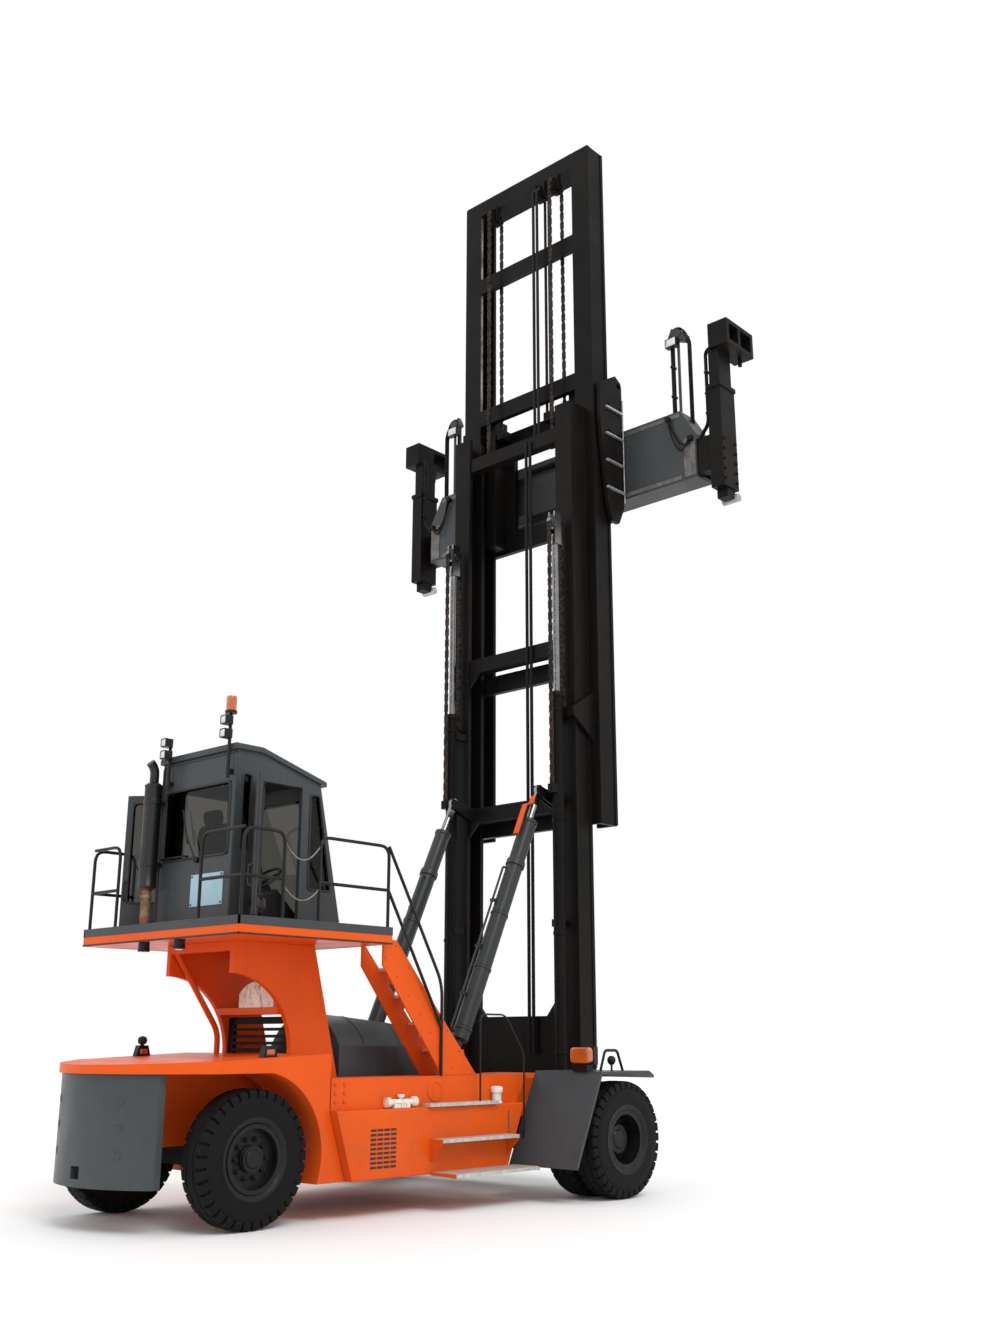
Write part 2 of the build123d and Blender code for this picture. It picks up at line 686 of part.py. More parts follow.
SIDE_WINDOWS = (
    # corner points in X and Z of each fixed side window
    ((DOOR_X0 - 185, 3500), (DOOR_X0 - 75, 3500), (DOOR_X0 - 75, 4250), (DOOR_X0 - 185, 4250)),
    ((DOOR_X1 + 113, 3160), (DOOR_X1 + 423, 3160), (DOOR_X1 + 233, 4150), (DOOR_X1 + 113, 4150)),
)


def cab_side():
    """Left wall with its door opening, side windows and hinge pins."""
    outline = [(CAB_REAR_X + WALL, DECK_TOP), (CAB_FRONT_X, DECK_TOP), (CAB_FRONT_X, RAKE_Z),
               (FRONT_TOP_X, roof_under(FRONT_TOP_X)), (ROOF_BREAK_X, ROOF_Z), (CAB_REAR_X + WALL, ROOF_Z)]
    wall = side_plate(outline, CAB_Y - WALL, CAB_Y)
    wall -= block(DOOR_X0, DOOR_X1, CAB_Y - WALL - 5, CAB_Y + 5, DOOR_Z0, DOOR_Z1)
    for window in SIDE_WINDOWS:
        wall -= side_plate(window, CAB_Y - WALL - 5, CAB_Y + 5)
    for z in HINGE_Z:
        axis = (DOOR_X0 - 5, CAB_Y + HINGE_OUT)
        wall += block(axis[0] - 14, axis[0] + 4, CAB_Y - 5, axis[1] + 14, z - 20, z)
        wall += bar((*axis, z - 1), (*axis, z + 90), HINGE_R)
    return wall


HINGE_Z = (2950, 4000)


def door():
    """Left door, closed: framed leaf with a window cut and hinge barrels."""
    x0, x1 = DOOR_X0 + DOOR_GAP, DOOR_X1 - DOOR_GAP
    z0, z1 = DOOR_Z0 + DOOR_GAP, DOOR_Z1 - DOOR_GAP
    leaf = block(x0, x1, CAB_Y - DOOR_T, CAB_Y, z0, z1)
    leaf -= block(x0 + 60, x1 - 60, CAB_Y - DOOR_T - 5, CAB_Y + 5, *DOOR_WINDOW)
    axis = (DOOR_X0 - 5, CAB_Y + HINGE_OUT)
    for z in HINGE_Z:
        leaf += block(axis[0], x0 + 40, CAB_Y + 3, CAB_Y + HINGE_OUT, z + 1, z + 80)
        leaf += block(x0 + 5, x0 + 40, CAB_Y - 5, CAB_Y + 5, z + 1, z + 80)
        leaf += bar((*axis, z + 1), (*axis, z + 80), HINGE_R + 5)
        leaf -= bar((*axis, z - 5), (*axis, z + 95), HINGE_R + FIT)
    return leaf


DOOR_WINDOW = (3050, 4130)


def door_pane():
    """Glass of the left door, closed."""
    x0, x1 = DOOR_X0 + DOOR_GAP + 60, DOOR_X1 - DOOR_GAP - 60
    z0, z1 = DOOR_WINDOW
    mid = CAB_Y - DOOR_T / 2
    return block(x0 + PANE_GAP, x1 - PANE_GAP, mid - PANE / 2, mid + PANE / 2, z0 + PANE_GAP, z1 - PANE_GAP)


def swung(shape):
    """A piece of the left door, turned to its open place."""
    axis = Axis((DOOR_X0 - 5, CAB_Y + HINGE_OUT, 0), (0, 0, 1))
    return shape.rotate(axis, DOOR_OPEN_DEG)


REAR_WINDOW = (560, 3440, 4180)
FRONT_WINDOW = (540, 2960, 4140)


def cab_rear_wall():
    half, z0, z1 = REAR_WINDOW
    wall = block(CAB_REAR_X, CAB_REAR_X + WALL, -CAB_Y, CAB_Y, DECK_TOP, ROOF_Z)
    return wall - block(CAB_REAR_X - 5, CAB_REAR_X + WALL + 5, -half, half, z0, z1)


def front_skin(y0, y1, z0, z1, inset, thick):
    """Slab that follows the raked front between two heights."""
    points = [(rake_x(z0) - inset, z0), (rake_x(z1) - inset, z1), (rake_x(z1) - inset - thick, z1),
              (rake_x(z0) - inset - thick, z0)]
    return side_plate(points, y0, y1)


def cab_front_wall():
    half, z0, z1 = FRONT_WINDOW
    top = roof_under(FRONT_TOP_X)
    back = FRONT_TOP_X - WALL
    outline = [(CAB_FRONT_X, DECK_TOP), (CAB_FRONT_X, RAKE_Z), (FRONT_TOP_X, top), (back, roof_under(back)),
               (CAB_FRONT_X - WALL, RAKE_Z), (CAB_FRONT_X - WALL, DECK_TOP)]
    wall = side_plate(outline, -(CAB_Y - WALL), CAB_Y - WALL)
    return wall - block(FRONT_TOP_X - 2 * WALL, CAB_FRONT_X + WALL, -half, half, z0, z1)


def cab_roof():
    """Roof with a level rear part and a front part that slopes down."""
    under = [(CAB_REAR_X - ROOF_EDGE, ROOF_Z), (ROOF_BREAK_X, ROOF_Z), (ROOF_FRONT_X, ROOF_FRONT_Z)]
    outline = under + [(x, z + ROOF_T) for x, z in reversed(under)]
    roof = side_plate(outline, -(CAB_Y + ROOF_EDGE), CAB_Y + ROOF_EDGE)
    rim = roof.edges().filter_by(lambda e: abs(e.center().Y) > CAB_Y).filter_by(
        lambda e: e.center().Z > roof_under(e.center().X) + ROOF_T - 5)
    return fillet(rim, 25)


def cab_glass():
    """Fixed panes, each in its own opening."""
    half, z0, z1 = REAR_WINDOW
    g = PANE_GAP
    mid = CAB_REAR_X + WALL / 2
    panes = [block(mid - PANE / 2, mid + PANE / 2, -half + g, half - g, z0 + g, z1 - g)]
    half, z0, z1 = FRONT_WINDOW
    panes.append(front_skin(-half + g, half - g, z0 + g, z1 - g, 20, PANE))
    for window in SIDE_WINDOWS:
        cx = sum(x for x, _ in window) / 4
        cz = sum(z for _, z in window) / 4
        small = [(x + g * (1 if x < cx else -1), z + g * (1 if z < cz else -1)) for x, z in window]
        mid = CAB_Y - WALL / 2
        panes += both_sides(side_plate(small, mid - PANE / 2, mid + PANE / 2))
    return apart(*panes)


def cab_interior():
    """Driver's seat, and the console with its steering wheel."""
    x0, x1, half = SEAT_X - 260, SEAT_X + 260, 260
    low = DECK_TOP + 300
    seat = block(x0 + 40, x1 - 40, 30 - half, half - 30, DECK_TOP, low)
    cushion = block(x0, x1, -half, half, low, low + 130)
    cushion = chamfer(cushion.edges().group_by(Axis.Z)[-1], 30)
    lean = [(x0, low + 120), (x0 + 140, low + 120), (x0 + 20, low + 840), (x0 - 100, low + 840)]
    seat += cushion + side_plate(lean, 20 - half, half - 20)
    foot = CAB_FRONT_X - 370
    outline = [(foot, DECK_TOP), (foot + 210, DECK_TOP), (foot + 180, low - 10), (foot - 90, low + 240),
               (foot - 120, low + 190)]
    column = side_plate(outline, -140, 140)
    hub = Vector(foot - 140, 0, low + 340)
    column += tube((foot - 50, 0, low + 190), hub, 22)
    plane = Plane(origin=hub, x_dir=(0, 1, 0), z_dir=(-0.643, 0, 0.766))
    wheel = RegularPolygon(206, 16) - RegularPolygon(174, 16)
    column += extrude(plane * wheel, amount=26) + extrude(plane * Rectangle(370, 36), amount=16)
    return apart(seat, column)


def exhaust():
    """Muffler with its tail pipe, on a riser from the platform, held by two straps."""
    x, y, low = CAB_REAR_X - 140, CAB_Y - 40, DECK_TOP + 510
    high = low + 1090
    pipe = tube((x, y, DECK_TOP), (x, y, low), 50, 12) + tube((x, y, low), (x, y, high), 92, 20)
    pipe += tube((x, y, high), (x, y, high + 160), 48, 12)
    pipe += tube((x, y, high + 140), (x - 60, y, high + 230), 48, 12)
    for z in (low + 230, high - 210):
        pipe += block(x, CAB_REAR_X, y - 40, y + 40, z, z + 40)
    return pipe


LAMP_POSTS = (
    # y, top z and lower edge of each lamp on the post
    (-560, ROOF_Z + 385, (ROOF_Z + 105, ROOF_Z + 245)),
    (470, ROOF_Z + 245, (ROOF_Z + 25, ROOF_Z + 155)),
)


def cover_top(x):
    """Height of the rear cover's top at a place along the machine."""
    share = (x - COVER_REAR_X) / (FRAME_REAR_X - COVER_REAR_X)
    return COVER_TOP_REAR + share * (COVER_TOP_FRONT - COVER_TOP_REAR)


def lamps():
    """Roof lamps with the beacon post, platform lamps and the markers on the rear cover."""
    pieces = []
    x = CAB_REAR_X - ROOF_EDGE - 25
    for y, top, heights in LAMP_POSTS:
        post = tube((x, y, ROOF_Z - 295), (x, y, top), 18)
        post += block(x, CAB_REAR_X, y - 20, y + 20, ROOF_Z - 255, ROOF_Z - 205)
        for z in heights:
            post += block(x - 90, x, y - 45, y + 45, z, z + 90)
        if y < 0:
            post += tube((x, y, top), (x, y, top + 150), 48, 12)
        pieces.append(post)
    top = FENDER_TOP + FENDER_T
    for sign in SIDES.values():
        rear = REAR_X + 110
        front = rear + 170
        high = cover_top(rear) + 110
        marker = [(rear, cover_top(rear)), (front, cover_top(front)), (front - 30, high), (rear + 30, high)]
        pieces.append(side_plate(marker, sign * 1010, sign * 1080))
        under = (DECK_REAR_X + 70, sign * 300)
        pieces.append(tube((*under, DECK_BOTTOM - 90), (*under, DECK_BOTTOM), 55, 12))
        pieces.append(block(-480, -380, sign * 1760, sign * 1960, top, top + 150))
    return apart(*pieces)


def front_fenders():
    """Bent guards over the twin front wheels."""
    t, top = FENDER_T, FENDER_TOP
    foot, bend, lip = TYRE_R + 267, TYRE_R - 183, TYRE_R - 93
    under = [(-foot, BOX_BOTTOM), (-bend, top), (bend - 10, top), (lip, top - 50)]
    over = [(lip, top - 50 + t), (bend, top + t), (-bend - 20, top + t), (-foot - t, BOX_BOTTOM + 10)]
    outline = under + over
    return apart(*both_sides(side_plate(outline, BAND_Y1, FRONT_OUTER_Y)))


# Mast

def channel(x0, x1, y0, y1, z0, z1, flange, web):
    """Upright channel on the left, open towards the middle of the machine."""
    rear, front, back = x0 + flange, x1 - flange, y1 - web
    section = [(x0, y0), (rear, y0), (rear, back), (front, back), (front, y0), (x1, y0), (x1, y1), (x0, y1)]
    return floor_plate(section, z0, z1)


def outer_upright():
    x1 = MAST_REAR_X + OUTER_DEPTH
    return channel(MAST_REAR_X, x1, OUTER_Y0, OUTER_Y1, OUTER_FOOT, OUTER_TOP, OUTER_WALL, OUTER_WALL)


OUTER_BARS = (
    # lower z of each tie, gusset size at its corners
    (OUTER_TOP - TOP_TIE_DROP, 0),
    (TILT_EYE_Z + 1860, 180),
    (TILT_EYE_Z - 220, 180),
)
BAR_X0 = MAST_REAR_X + 20
BAR_X1 = BAR_X0 + 150
FOOT_X = MAST_REAR_X + 50
FOOT_T = 60


def outer_crossbars():
    """Ties between the outer uprights, the foot plate with its pivot lugs, and the tilt cylinder ears."""
    pieces = []
    for z0, gusset in OUTER_BARS:
        tie = block(BAR_X0, BAR_X1, -OUTER_Y0, OUTER_Y0, z0, z0 + TIE_H)
        if gusset:
            corner = [(OUTER_Y0, z0), (OUTER_Y0 - gusset, z0), (OUTER_Y0, z0 - gusset)]
            rib = cross_plate(corner, BAR_X0, MAST_REAR_X + OUTER_WALL)
            tie += rib + other_side(rib)
        pieces.append(tie)
    low = OUTER_BARS[2][0]
    tip = TILT_EYE_X - 60
    for sign in SIDES.values():
        y0, y1 = sign * (TOP_CHAIN_Y - 50), sign * (TOP_CHAIN_Y + 50)
        pieces[0] += block(BAR_X1, BAR_X1 + 60, y0, y1, TOP_ANCHOR_Z - 80, TOP_ANCHOR_Z)
        for y in (TILT_Y - 38, TILT_Y + 38):
            ear = [(BAR_X0, low + 10), (BAR_X0, low + TIE_H - 10), (tip, TILT_EYE_Z + 60),
                   (tip, TILT_EYE_Z - 60)]
            pieces[2] += side_plate(ear, sign * y - 12, sign * y + 12)
        y0, y1 = sign * (TILT_Y - 50), sign * (TILT_Y + 50)
        pieces[2] += bar((TILT_EYE_X, y0, TILT_EYE_Z), (TILT_EYE_X, y1, TILT_EYE_Z), TILT_PIN_R)
    return apart(*pieces, mast_foot())


def mast_foot():
    """Foot plate between the outer uprights, with sloped shoulders, clips and two pivot lugs."""
    low = PIVOT_Z - 140
    y, cut, top = OUTER_Y0, OUTER_Y0 - 280, low + 1820
    outline = [(-y, top), (-y, low), (y, low), (y, top), (cut, top - 350), (-cut, top - 350)]
    foot = cross_plate(outline, FOOT_X, FOOT_X + FOOT_T)
    for sign in SIDES.values():
        foot += block(BAR_X0, FOOT_X + 10, sign * (y - 100), sign * y, low + 520, low + 720)
        face = FOOT_X + FOOT_T / 2
        lug = [(face, PIVOT_Z - 100), (face, PIVOT_Z + 200), (PIVOT_X, PIVOT_Z + 100),
               (PIVOT_X - 80, PIVOT_Z), (PIVOT_X, PIVOT_Z - 100)]
        foot += side_plate(lug, sign * LUG_Y0, sign * LUG_Y1)
        ends = sign * (LUG_Y0 - 15), sign * (LUG_Y1 + 25)
        foot -= bar((PIVOT_X, ends[0], PIVOT_Z), (PIVOT_X, ends[1], PIVOT_Z), PIVOT_R + FIT)
    return foot


def lift_barrels():
    """Lift cylinder barrels behind the outer uprights, each with a foot, a clamp and a chain anchor."""
    body = bar((LIFT_X, LIFT_Y, BARREL_FOOT), (LIFT_X, LIFT_Y, BARREL_TOP), BARREL_R)
    r = BARREL_R
    body += block(LIFT_X - r, MAST_REAR_X, LIFT_Y - r, LIFT_Y + r, BARREL_FOOT - 60, BARREL_FOOT + 20)
    for z in (BARREL_FOOT + 2000, BARREL_TOP - 290):
        body += block(LIFT_X - 20, MAST_REAR_X, LIFT_Y - r - 35, LIFT_Y - 50, z, z + 90)
    anchor = LIFT_X - SHEAVE_R
    body += block(anchor - 30, anchor + 60, LIFT_Y - 45, LIFT_Y + 45, REAR_ANCHOR_Z - 110, REAR_ANCHOR_Z)
    body -= bar((LIFT_X, LIFT_Y, BARREL_FOOT + 60), (LIFT_X, LIFT_Y, BARREL_TOP + 10), ROD_R + FIT)
    return apart(*both_sides(body))


def lift_rods():
    """Lift rods with their yokes and chain sheaves, each sheave carrying the turn of its chain."""
    x, y, z = LIFT_X, LIFT_Y, SHEAVE_Z
    rod = bar((x, y, ROD_FOOT), (x, y, YOKE_Z + 5), ROD_R)
    rod += block(x - 65, x + 65, y - YOKE_Y, y + YOKE_Y, YOKE_Z, YOKE_Z + 130)
    half = CHAIN_W / 2 + 3
    for side in (y - YOKE_Y, y + half):
        rod += block(x - 70, x + 70, side, side + YOKE_Y - half, YOKE_Z, z + 160)
    rod += bar((x, y - YOKE_Y - 5, z), (x, y + YOKE_Y + 5, z), 35)
    root = SHEAVE_R - CHAIN_T / 2
    rod += bar((x, y - half + 1, z), (x, y + half - 1, z), root)
    y0, y1 = y - CHAIN_W / 2, y + CHAIN_W / 2
    ring = spun([(root - 2, y0), (root + CHAIN_T, y0), (root + CHAIN_T, y1), (root - 2, y1)], x, z)
    wrap = ring & block(x - 2 * SHEAVE_R, x + 2 * SHEAVE_R, y0 - 10, y1 + 10, z, z + 2 * SHEAVE_R)
    return apart(*both_sides(rod + wrap))


def strand(x, y, z0, z1):
    """One run of leaf chain."""
    return block(x - CHAIN_T / 2, x + CHAIN_T / 2, y - CHAIN_W / 2, y + CHAIN_W / 2, z0, z1)


def lift_chains_rear():
    return apart(*both_sides(strand(LIFT_X - SHEAVE_R, LIFT_Y, REAR_ANCHOR_Z, SHEAVE_Z)))


def lift_chains_front():
    return apart(*both_sides(strand(LIFT_X + SHEAVE_R, LIFT_Y, FRONT_ANCHOR_Z, SHEAVE_Z)))


TOP_SHEAVE_Z = INNER_TOP - SHEAVE_DROP
TOP_ANCHOR_Z = OUTER_TOP - TOP_TIE_DROP + 100
HOSE_UP_X = BAR_X1 + HOSE_R
HOSE_TURN = TOP_SHEAVE_X - HOSE_UP_X


def carriage_chains_up():
    """Chains and hoses from the outer mast up to the wheels under the top beam."""
    x = TOP_SHEAVE_X - TOP_SHEAVE_R
    runs = both_sides(strand(x, TOP_CHAIN_Y, TOP_ANCHOR_Z, TOP_SHEAVE_Z))
    for k in range(2):
        y = HOSE_Y + HOSE_PITCH * k
        runs.append(tube((HOSE_UP_X, y, TOP_ANCHOR_Z), (HOSE_UP_X, y, TOP_SHEAVE_Z), HOSE_R))
    return apart(*runs)


def carriage_chains_down():
    """Chains and hoses from the top wheels down to the carriage."""
    x = TOP_SHEAVE_X + TOP_SHEAVE_R
    runs = both_sides(strand(x, TOP_CHAIN_Y, CARRIAGE_Z1 - 60, TOP_SHEAVE_Z))
    for k in range(2):
        y = HOSE_Y + HOSE_PITCH * k
        hose_x = TOP_SHEAVE_X + HOSE_TURN
        runs.append(tube((hose_x, y, CARRIAGE_Z1 - 60), (hose_x, y, TOP_SHEAVE_Z), HOSE_R))
    return apart(*runs)


def mast_hoses():
    """Pair of hoses up the middle of the outer mast, clipped to its ties."""
    runs = []
    x = BAR_X0 - HOSE_R
    for k in range(2):
        y = HOSE_Y + HOSE_PITCH * k
        runs.append(tube((x, y, OUTER_FOOT + 1200), (x, y, OUTER_TOP - 400), HOSE_R))
    return apart(*runs)


def inner_upright():
    """Moving upright on the left, with its slide pads and the arm that the lift chain pulls."""
    body = channel(INNER_X0, INNER_X1, INNER_Y0, INNER_Y1, INNER_FOOT, INNER_TOP, INNER_WALL, INNER_WEB)
    for z in (INNER_FOOT + 100, INNER_FOOT + 1500):
        body += block(INNER_X0 - STAGE_GAP + FIT, INNER_X0 + 5, INNER_Y0 + 20, OUTER_Y1 - 20, z, z + 200)
    reach = LIFT_X + SHEAVE_R - 30
    z, face = FRONT_ANCHOR_Z, INNER_X0 + 5
    y0, y1 = OUTER_Y1 + 20, OUTER_Y1 + 60
    body += side_plate([(reach, z - 110), (reach, z), (face, z + 260), (face, z - 400)], y0, y1)
    return body + block(reach, MAST_REAR_X - 20, LIFT_Y - 32, y1, z - 110, z)


INNER_BAR_H = 250
INNER_L = INNER_TOP - INNER_FOOT
INNER_BARS = (
    # lower z of each tie between the inner uprights
    INNER_FOOT + 0.838 * INNER_L,
    INNER_FOOT + 0.615 * INNER_L,
    INNER_FOOT + 0.2 * INNER_L,
    INNER_FOOT,
)


def inner_crossbars():
    """Ties between the inner uprights, and the top beam with its chain and hose wheels."""
    pieces = []
    for z in INNER_BARS:
        pieces.append(block(INNER_X0, INNER_X0 + 85, -INNER_Y0, INNER_Y0, z, z + INNER_BAR_H))
    beam = block(INNER_X0, INNER_X1, -INNER_Y0, INNER_Y0, INNER_TOP - TOP_BEAM_H, INNER_TOP)
    x, z = TOP_SHEAVE_X, TOP_SHEAVE_Z
    chain_wheel = TOP_SHEAVE_R - CHAIN_T / 2
    wheels = (
        # middle y, width, radius
        (TOP_CHAIN_Y, CHAIN_W - 4, chain_wheel),
        (-TOP_CHAIN_Y, CHAIN_W - 4, chain_wheel),
        (HOSE_Y + HOSE_PITCH / 2, HOSE_PITCH + 50, HOSE_TURN - HOSE_R),
    )
    for y, width, radius in wheels:
        half = width / 2
        beam += tube((x, y - half, z), (x, y + half, z), radius, 24)
        beam += tube((x, y - half - 40, z), (x, y + half + 40, z), 30, 12)
        for side in (y - half - 35, y + half + 10):
            beam += block(x - 45, x + 45, side, side + 25, z - 60, INNER_TOP - TOP_BEAM_H + 10)
    return apart(*pieces, beam)


def tilt_line():
    """Lower eye, upper eye and direction of a tilt cylinder on the left."""
    foot = Vector(TILT_FOOT_X, TILT_Y, TILT_FOOT_Z)
    eye = Vector(TILT_EYE_X, TILT_Y, TILT_EYE_Z)
    return foot, eye, (eye - foot).normalized()


def tilt_barrels():
    foot, eye, along = tilt_line()
    start = foot + along * 190
    end = foot + along * TILT_BARREL_L
    body = bar(start, end, TILT_BARREL_R)
    body += bar(foot, start + along * 5, 44)
    body += bar((foot.X, foot.Y - 45, foot.Z), (foot.X, foot.Y + 45, foot.Z), 75)
    body -= bar((foot.X, foot.Y - 60, foot.Z), (foot.X, foot.Y + 60, foot.Z), TILT_PIN_R + FIT)
    body -= bar(foot + along * 300, end + along * 10, TILT_ROD_R + FIT)
    return apart(*both_sides(body))


def tilt_rods():
    foot, eye, along = tilt_line()
    tongue = bar(eye - along * 260, eye, TILT_ROD_R) & block(-3000, 3000, TILT_Y - 22, TILT_Y + 22, 0, 9000)
    body = bar(foot + along * 700, eye - along * 230, TILT_ROD_R) + tongue
    body += bar((eye.X, eye.Y - 22, eye.Z), (eye.X, eye.Y + 22, eye.Z), 72)
    body -= bar((eye.X, eye.Y - 60, eye.Z), (eye.X, eye.Y + 60, eye.Z), TILT_PIN_R + EYE_SLACK)
    return apart(*both_sides(body))


def carriage():
    """Carriage plate with side bars, rollers, end plates and the two shafts of the side shift."""
    z0, z1, face = CARRIAGE_Z0, CARRIAGE_Z1, PLATE_X + PLATE_T
    body = block(PLATE_X, face, -END_Y, END_Y, z0, z1)
    body -= block(PLATE_X - 10, face + 10, -WINDOW_Y, WINDOW_Y, z0 + WINDOW_LOW, z1 - WINDOW_HIGH)
    roller_r = (INNER_DEPTH - 2 * INNER_WALL) / 2 - ROLLER_GAP
    roller_x = (INNER_X0 + INNER_X1) / 2
    for sign in SIDES.values():
        body += block(SIDE_BAR_X, PLATE_X, sign * SIDE_BAR_Y0, sign * SIDE_BAR_Y1, z0 + 50, z1 + 150)
        near, rim, far = sign * (SIDE_BAR_Y1 - 20), sign * (INNER_Y0 + 5), sign * (INNER_Y1 - INNER_WEB - 10)
        for z in (z0 + ROLLER_INSET + 30, z1 - ROLLER_INSET + 150):
            body += tube((roller_x, near, z), (roller_x, rim + sign * 15, z), 45, 12)
            body += bar((roller_x, rim, z), (roller_x, far, z), roller_r)
        y0, y1 = sign * (TOP_CHAIN_Y - 50), sign * (TOP_CHAIN_Y + 50)
        body += block(TOP_SHEAVE_X + TOP_SHEAVE_R - 40, PLATE_X, y0, y1, z1 - 200, z1 - 60)
    low = TOP_SHEAVE_X + TOP_SHEAVE_R - 40
    body += block(low, PLATE_X, HOSE_Y - 40, HOSE_Y + HOSE_PITCH + 40, z1 - 200, z1 - 60)
    for z in SHAFT_HEIGHTS:
        body += bar((SHAFT_X, -END_Y - 5, z), (SHAFT_X, END_Y + 5, z), SHAFT_R)
    end = carriage_end()
    return body + end + other_side(end)


def carriage_end():
    """Left end plate of the carriage, waisted below, with a lifting ear and four ledges on its outer face."""
    z0, z1 = CARRIAGE_Z0, CARRIAGE_Z1
    rear, front = INNER_X0 + 50, SHAFT_X + 30
    outline = [(rear + 140, z0 + 200), (rear + 230, z0 - 50), (front - 120, z0 - 50), (front, z0 + 200),
               (front, z1 + 140), (front - 20, z1 + 200), (front - 140, z1 + 270), (rear, z1 + 50),
               (rear, z1 - 500), (rear + 60, z1 - 1050)]
    plate = side_plate(outline, END_Y, END_Y + END_T)
    plate -= bar((EAR_X, END_Y - 10, z1 + EAR_UP), (EAR_X, END_Y + END_T + 10, z1 + EAR_UP), EAR_R)
    step = (z1 - z0 - 700) / 3
    for k in range(4):
        z = z0 + 400 + step * k
        plate += block(rear + 110, front - 20, END_Y + END_T - 5, END_Y + END_T + LEDGE_OUT, z, z + LEDGE_T)
    return plate


SHAFT_HEIGHTS = (BEAM_Z0 + SHAFT_INSET, BEAM_Z1 - SHAFT_INSET)


def spreader_beam():
    """Box beam, open at both ends, with guide collars for the arms and lugs on the side shift shafts."""
    w, y = BEAM_WALL, BEAM_Y
    beam = block(BEAM_X0, BEAM_X1, -y, y, BEAM_Z0, BEAM_Z1)
    slope = [(BEAM_SLOPE_Y, BEAM_Z1), (y, BEAM_END_Z), (y + 10, BEAM_END_Z), (y + 10, BEAM_Z1 + 10),
             (BEAM_SLOPE_Y, BEAM_Z1 + 10)]
    slope = cross_plate(slope, BEAM_X0 - 10, BEAM_X1 + 10)
    inside = BEAM_SLOPE_Y - 100
    beam -= slope + other_side(slope)
    beam -= block(BEAM_X0 + w, BEAM_X1 - w, -inside, inside, BEAM_Z0 + w, BEAM_Z1 - w)
    beam -= block(BEAM_X0 + w, BEAM_X1 - w, -y - 10, y + 10, ARM_Z0 - FIT, ARM_Z1 + FIT)
    for z in SHAFT_HEIGHTS:
        for sign in SIDES.values():
            lug = block(SHAFT_X - 50, BEAM_X0 + 5, sign * 400, sign * 750, z - 80, z + 80)
            beam += lug - bar((SHAFT_X, sign * 390, z), (SHAFT_X, sign * 760, z), SHAFT_R + FIT)
    tower = hose_tower()
    return beam + tower + other_side(tower)


def hose_tower():
    """Left hose guide on the beam: two uprights with a leaning head and its roller."""
    z0, z1 = BEAM_Z1 - 5, BEAM_Z1 + TOWER_H
    tower = block(TOWER_X - 40, TOWER_X + 40, TOWER_Y - 90, TOWER_Y + 110, z0, z0 + 25)
    for y in (TOWER_Y - 60, TOWER_Y + 50):
        tower += block(TOWER_X - 15, TOWER_X + 15, y - 15, y + 15, z0, z1)
    head = [(TOWER_Y - 110, z1 - 20), (TOWER_Y - 40, z1 + 130), (TOWER_Y + 220, z1 - 60),
            (TOWER_Y + 180, z1 - 150)]
    tower += cross_plate(head, TOWER_X - 35, TOWER_X + 35)
    return tower + tube((TOWER_X - 50, TOWER_Y + 40, z1 + 20), (TOWER_X + 50, TOWER_Y + 40, z1 + 20), 75, 12)


def arm(side):
    """Telescoping arm with its post, lock head, lock pin and roller foot, drawn on the left."""
    w = ARM_WALL
    x0 = BEAM_X0 + BEAM_WALL + 1 if side == "right" else BEAM_X1 - BEAM_WALL - 1 - ARM_DEPTH
    x1, end = x0 + ARM_DEPTH, BEAM_Y - 180
    body = block(x0, x1, -end, POST_Y0 + 10, ARM_Z0, ARM_Z1)
    body -= block(x0 + w, x1 - w, -end - 10, POST_Y0 - 40, ARM_Z0 + w, ARM_Z1 - w)
    c, top = COLLAR_OUT, COLLAR_Z + COLLAR_H
    body += block(POST_X0, POST_X1, POST_Y0, POST_Y1, POST_Z0, top)
    body += block(POST_X0 - c, POST_X1 + c, POST_Y0 - c, POST_Y1 + c, COLLAR_Z, top)
    body += block(POST_X0 + 30, POST_X1 - 30, POST_Y0 + 20, POST_Y1 - 20, top - 10, POST_Z1 + 10)
    head = block(HEAD_X0, HEAD_X1, HEAD_Y0, HEAD_Y1, POST_Z1, POST_Z1 + HEAD_H)
    window = POST_X1 - 30
    head -= block(window, HEAD_X1 - 60, HEAD_Y0 - 10, HEAD_Y1 + 10, POST_Z1 + 60, POST_Z1 + HEAD_H - 60)
    head -= block(HEAD_X0 + 60, window - 60, HEAD_Y1 - 120, HEAD_Y1 + 10, POST_Z1 + 60, POST_Z1 + HEAD_H - 60)
    body += head + bar((LOCK_X, LOCK_Y, POST_Z1 - LOCK_DROP), (LOCK_X, LOCK_Y, POST_Z1 + 5), LOCK_R)
    body += block(POST_X0 + 100, POST_X1 - 70, POST_Y0 + 20, POST_Y1 - 20, POST_Z0 - 130, POST_Z0)
    foot_x, foot_z = POST_X1 - 40, POST_Z0 - 100
    body += tube((foot_x, POST_Y0 - 20, foot_z), (foot_x, POST_Y1 + 20, foot_z), 50, 12)
    return turned(body, side)


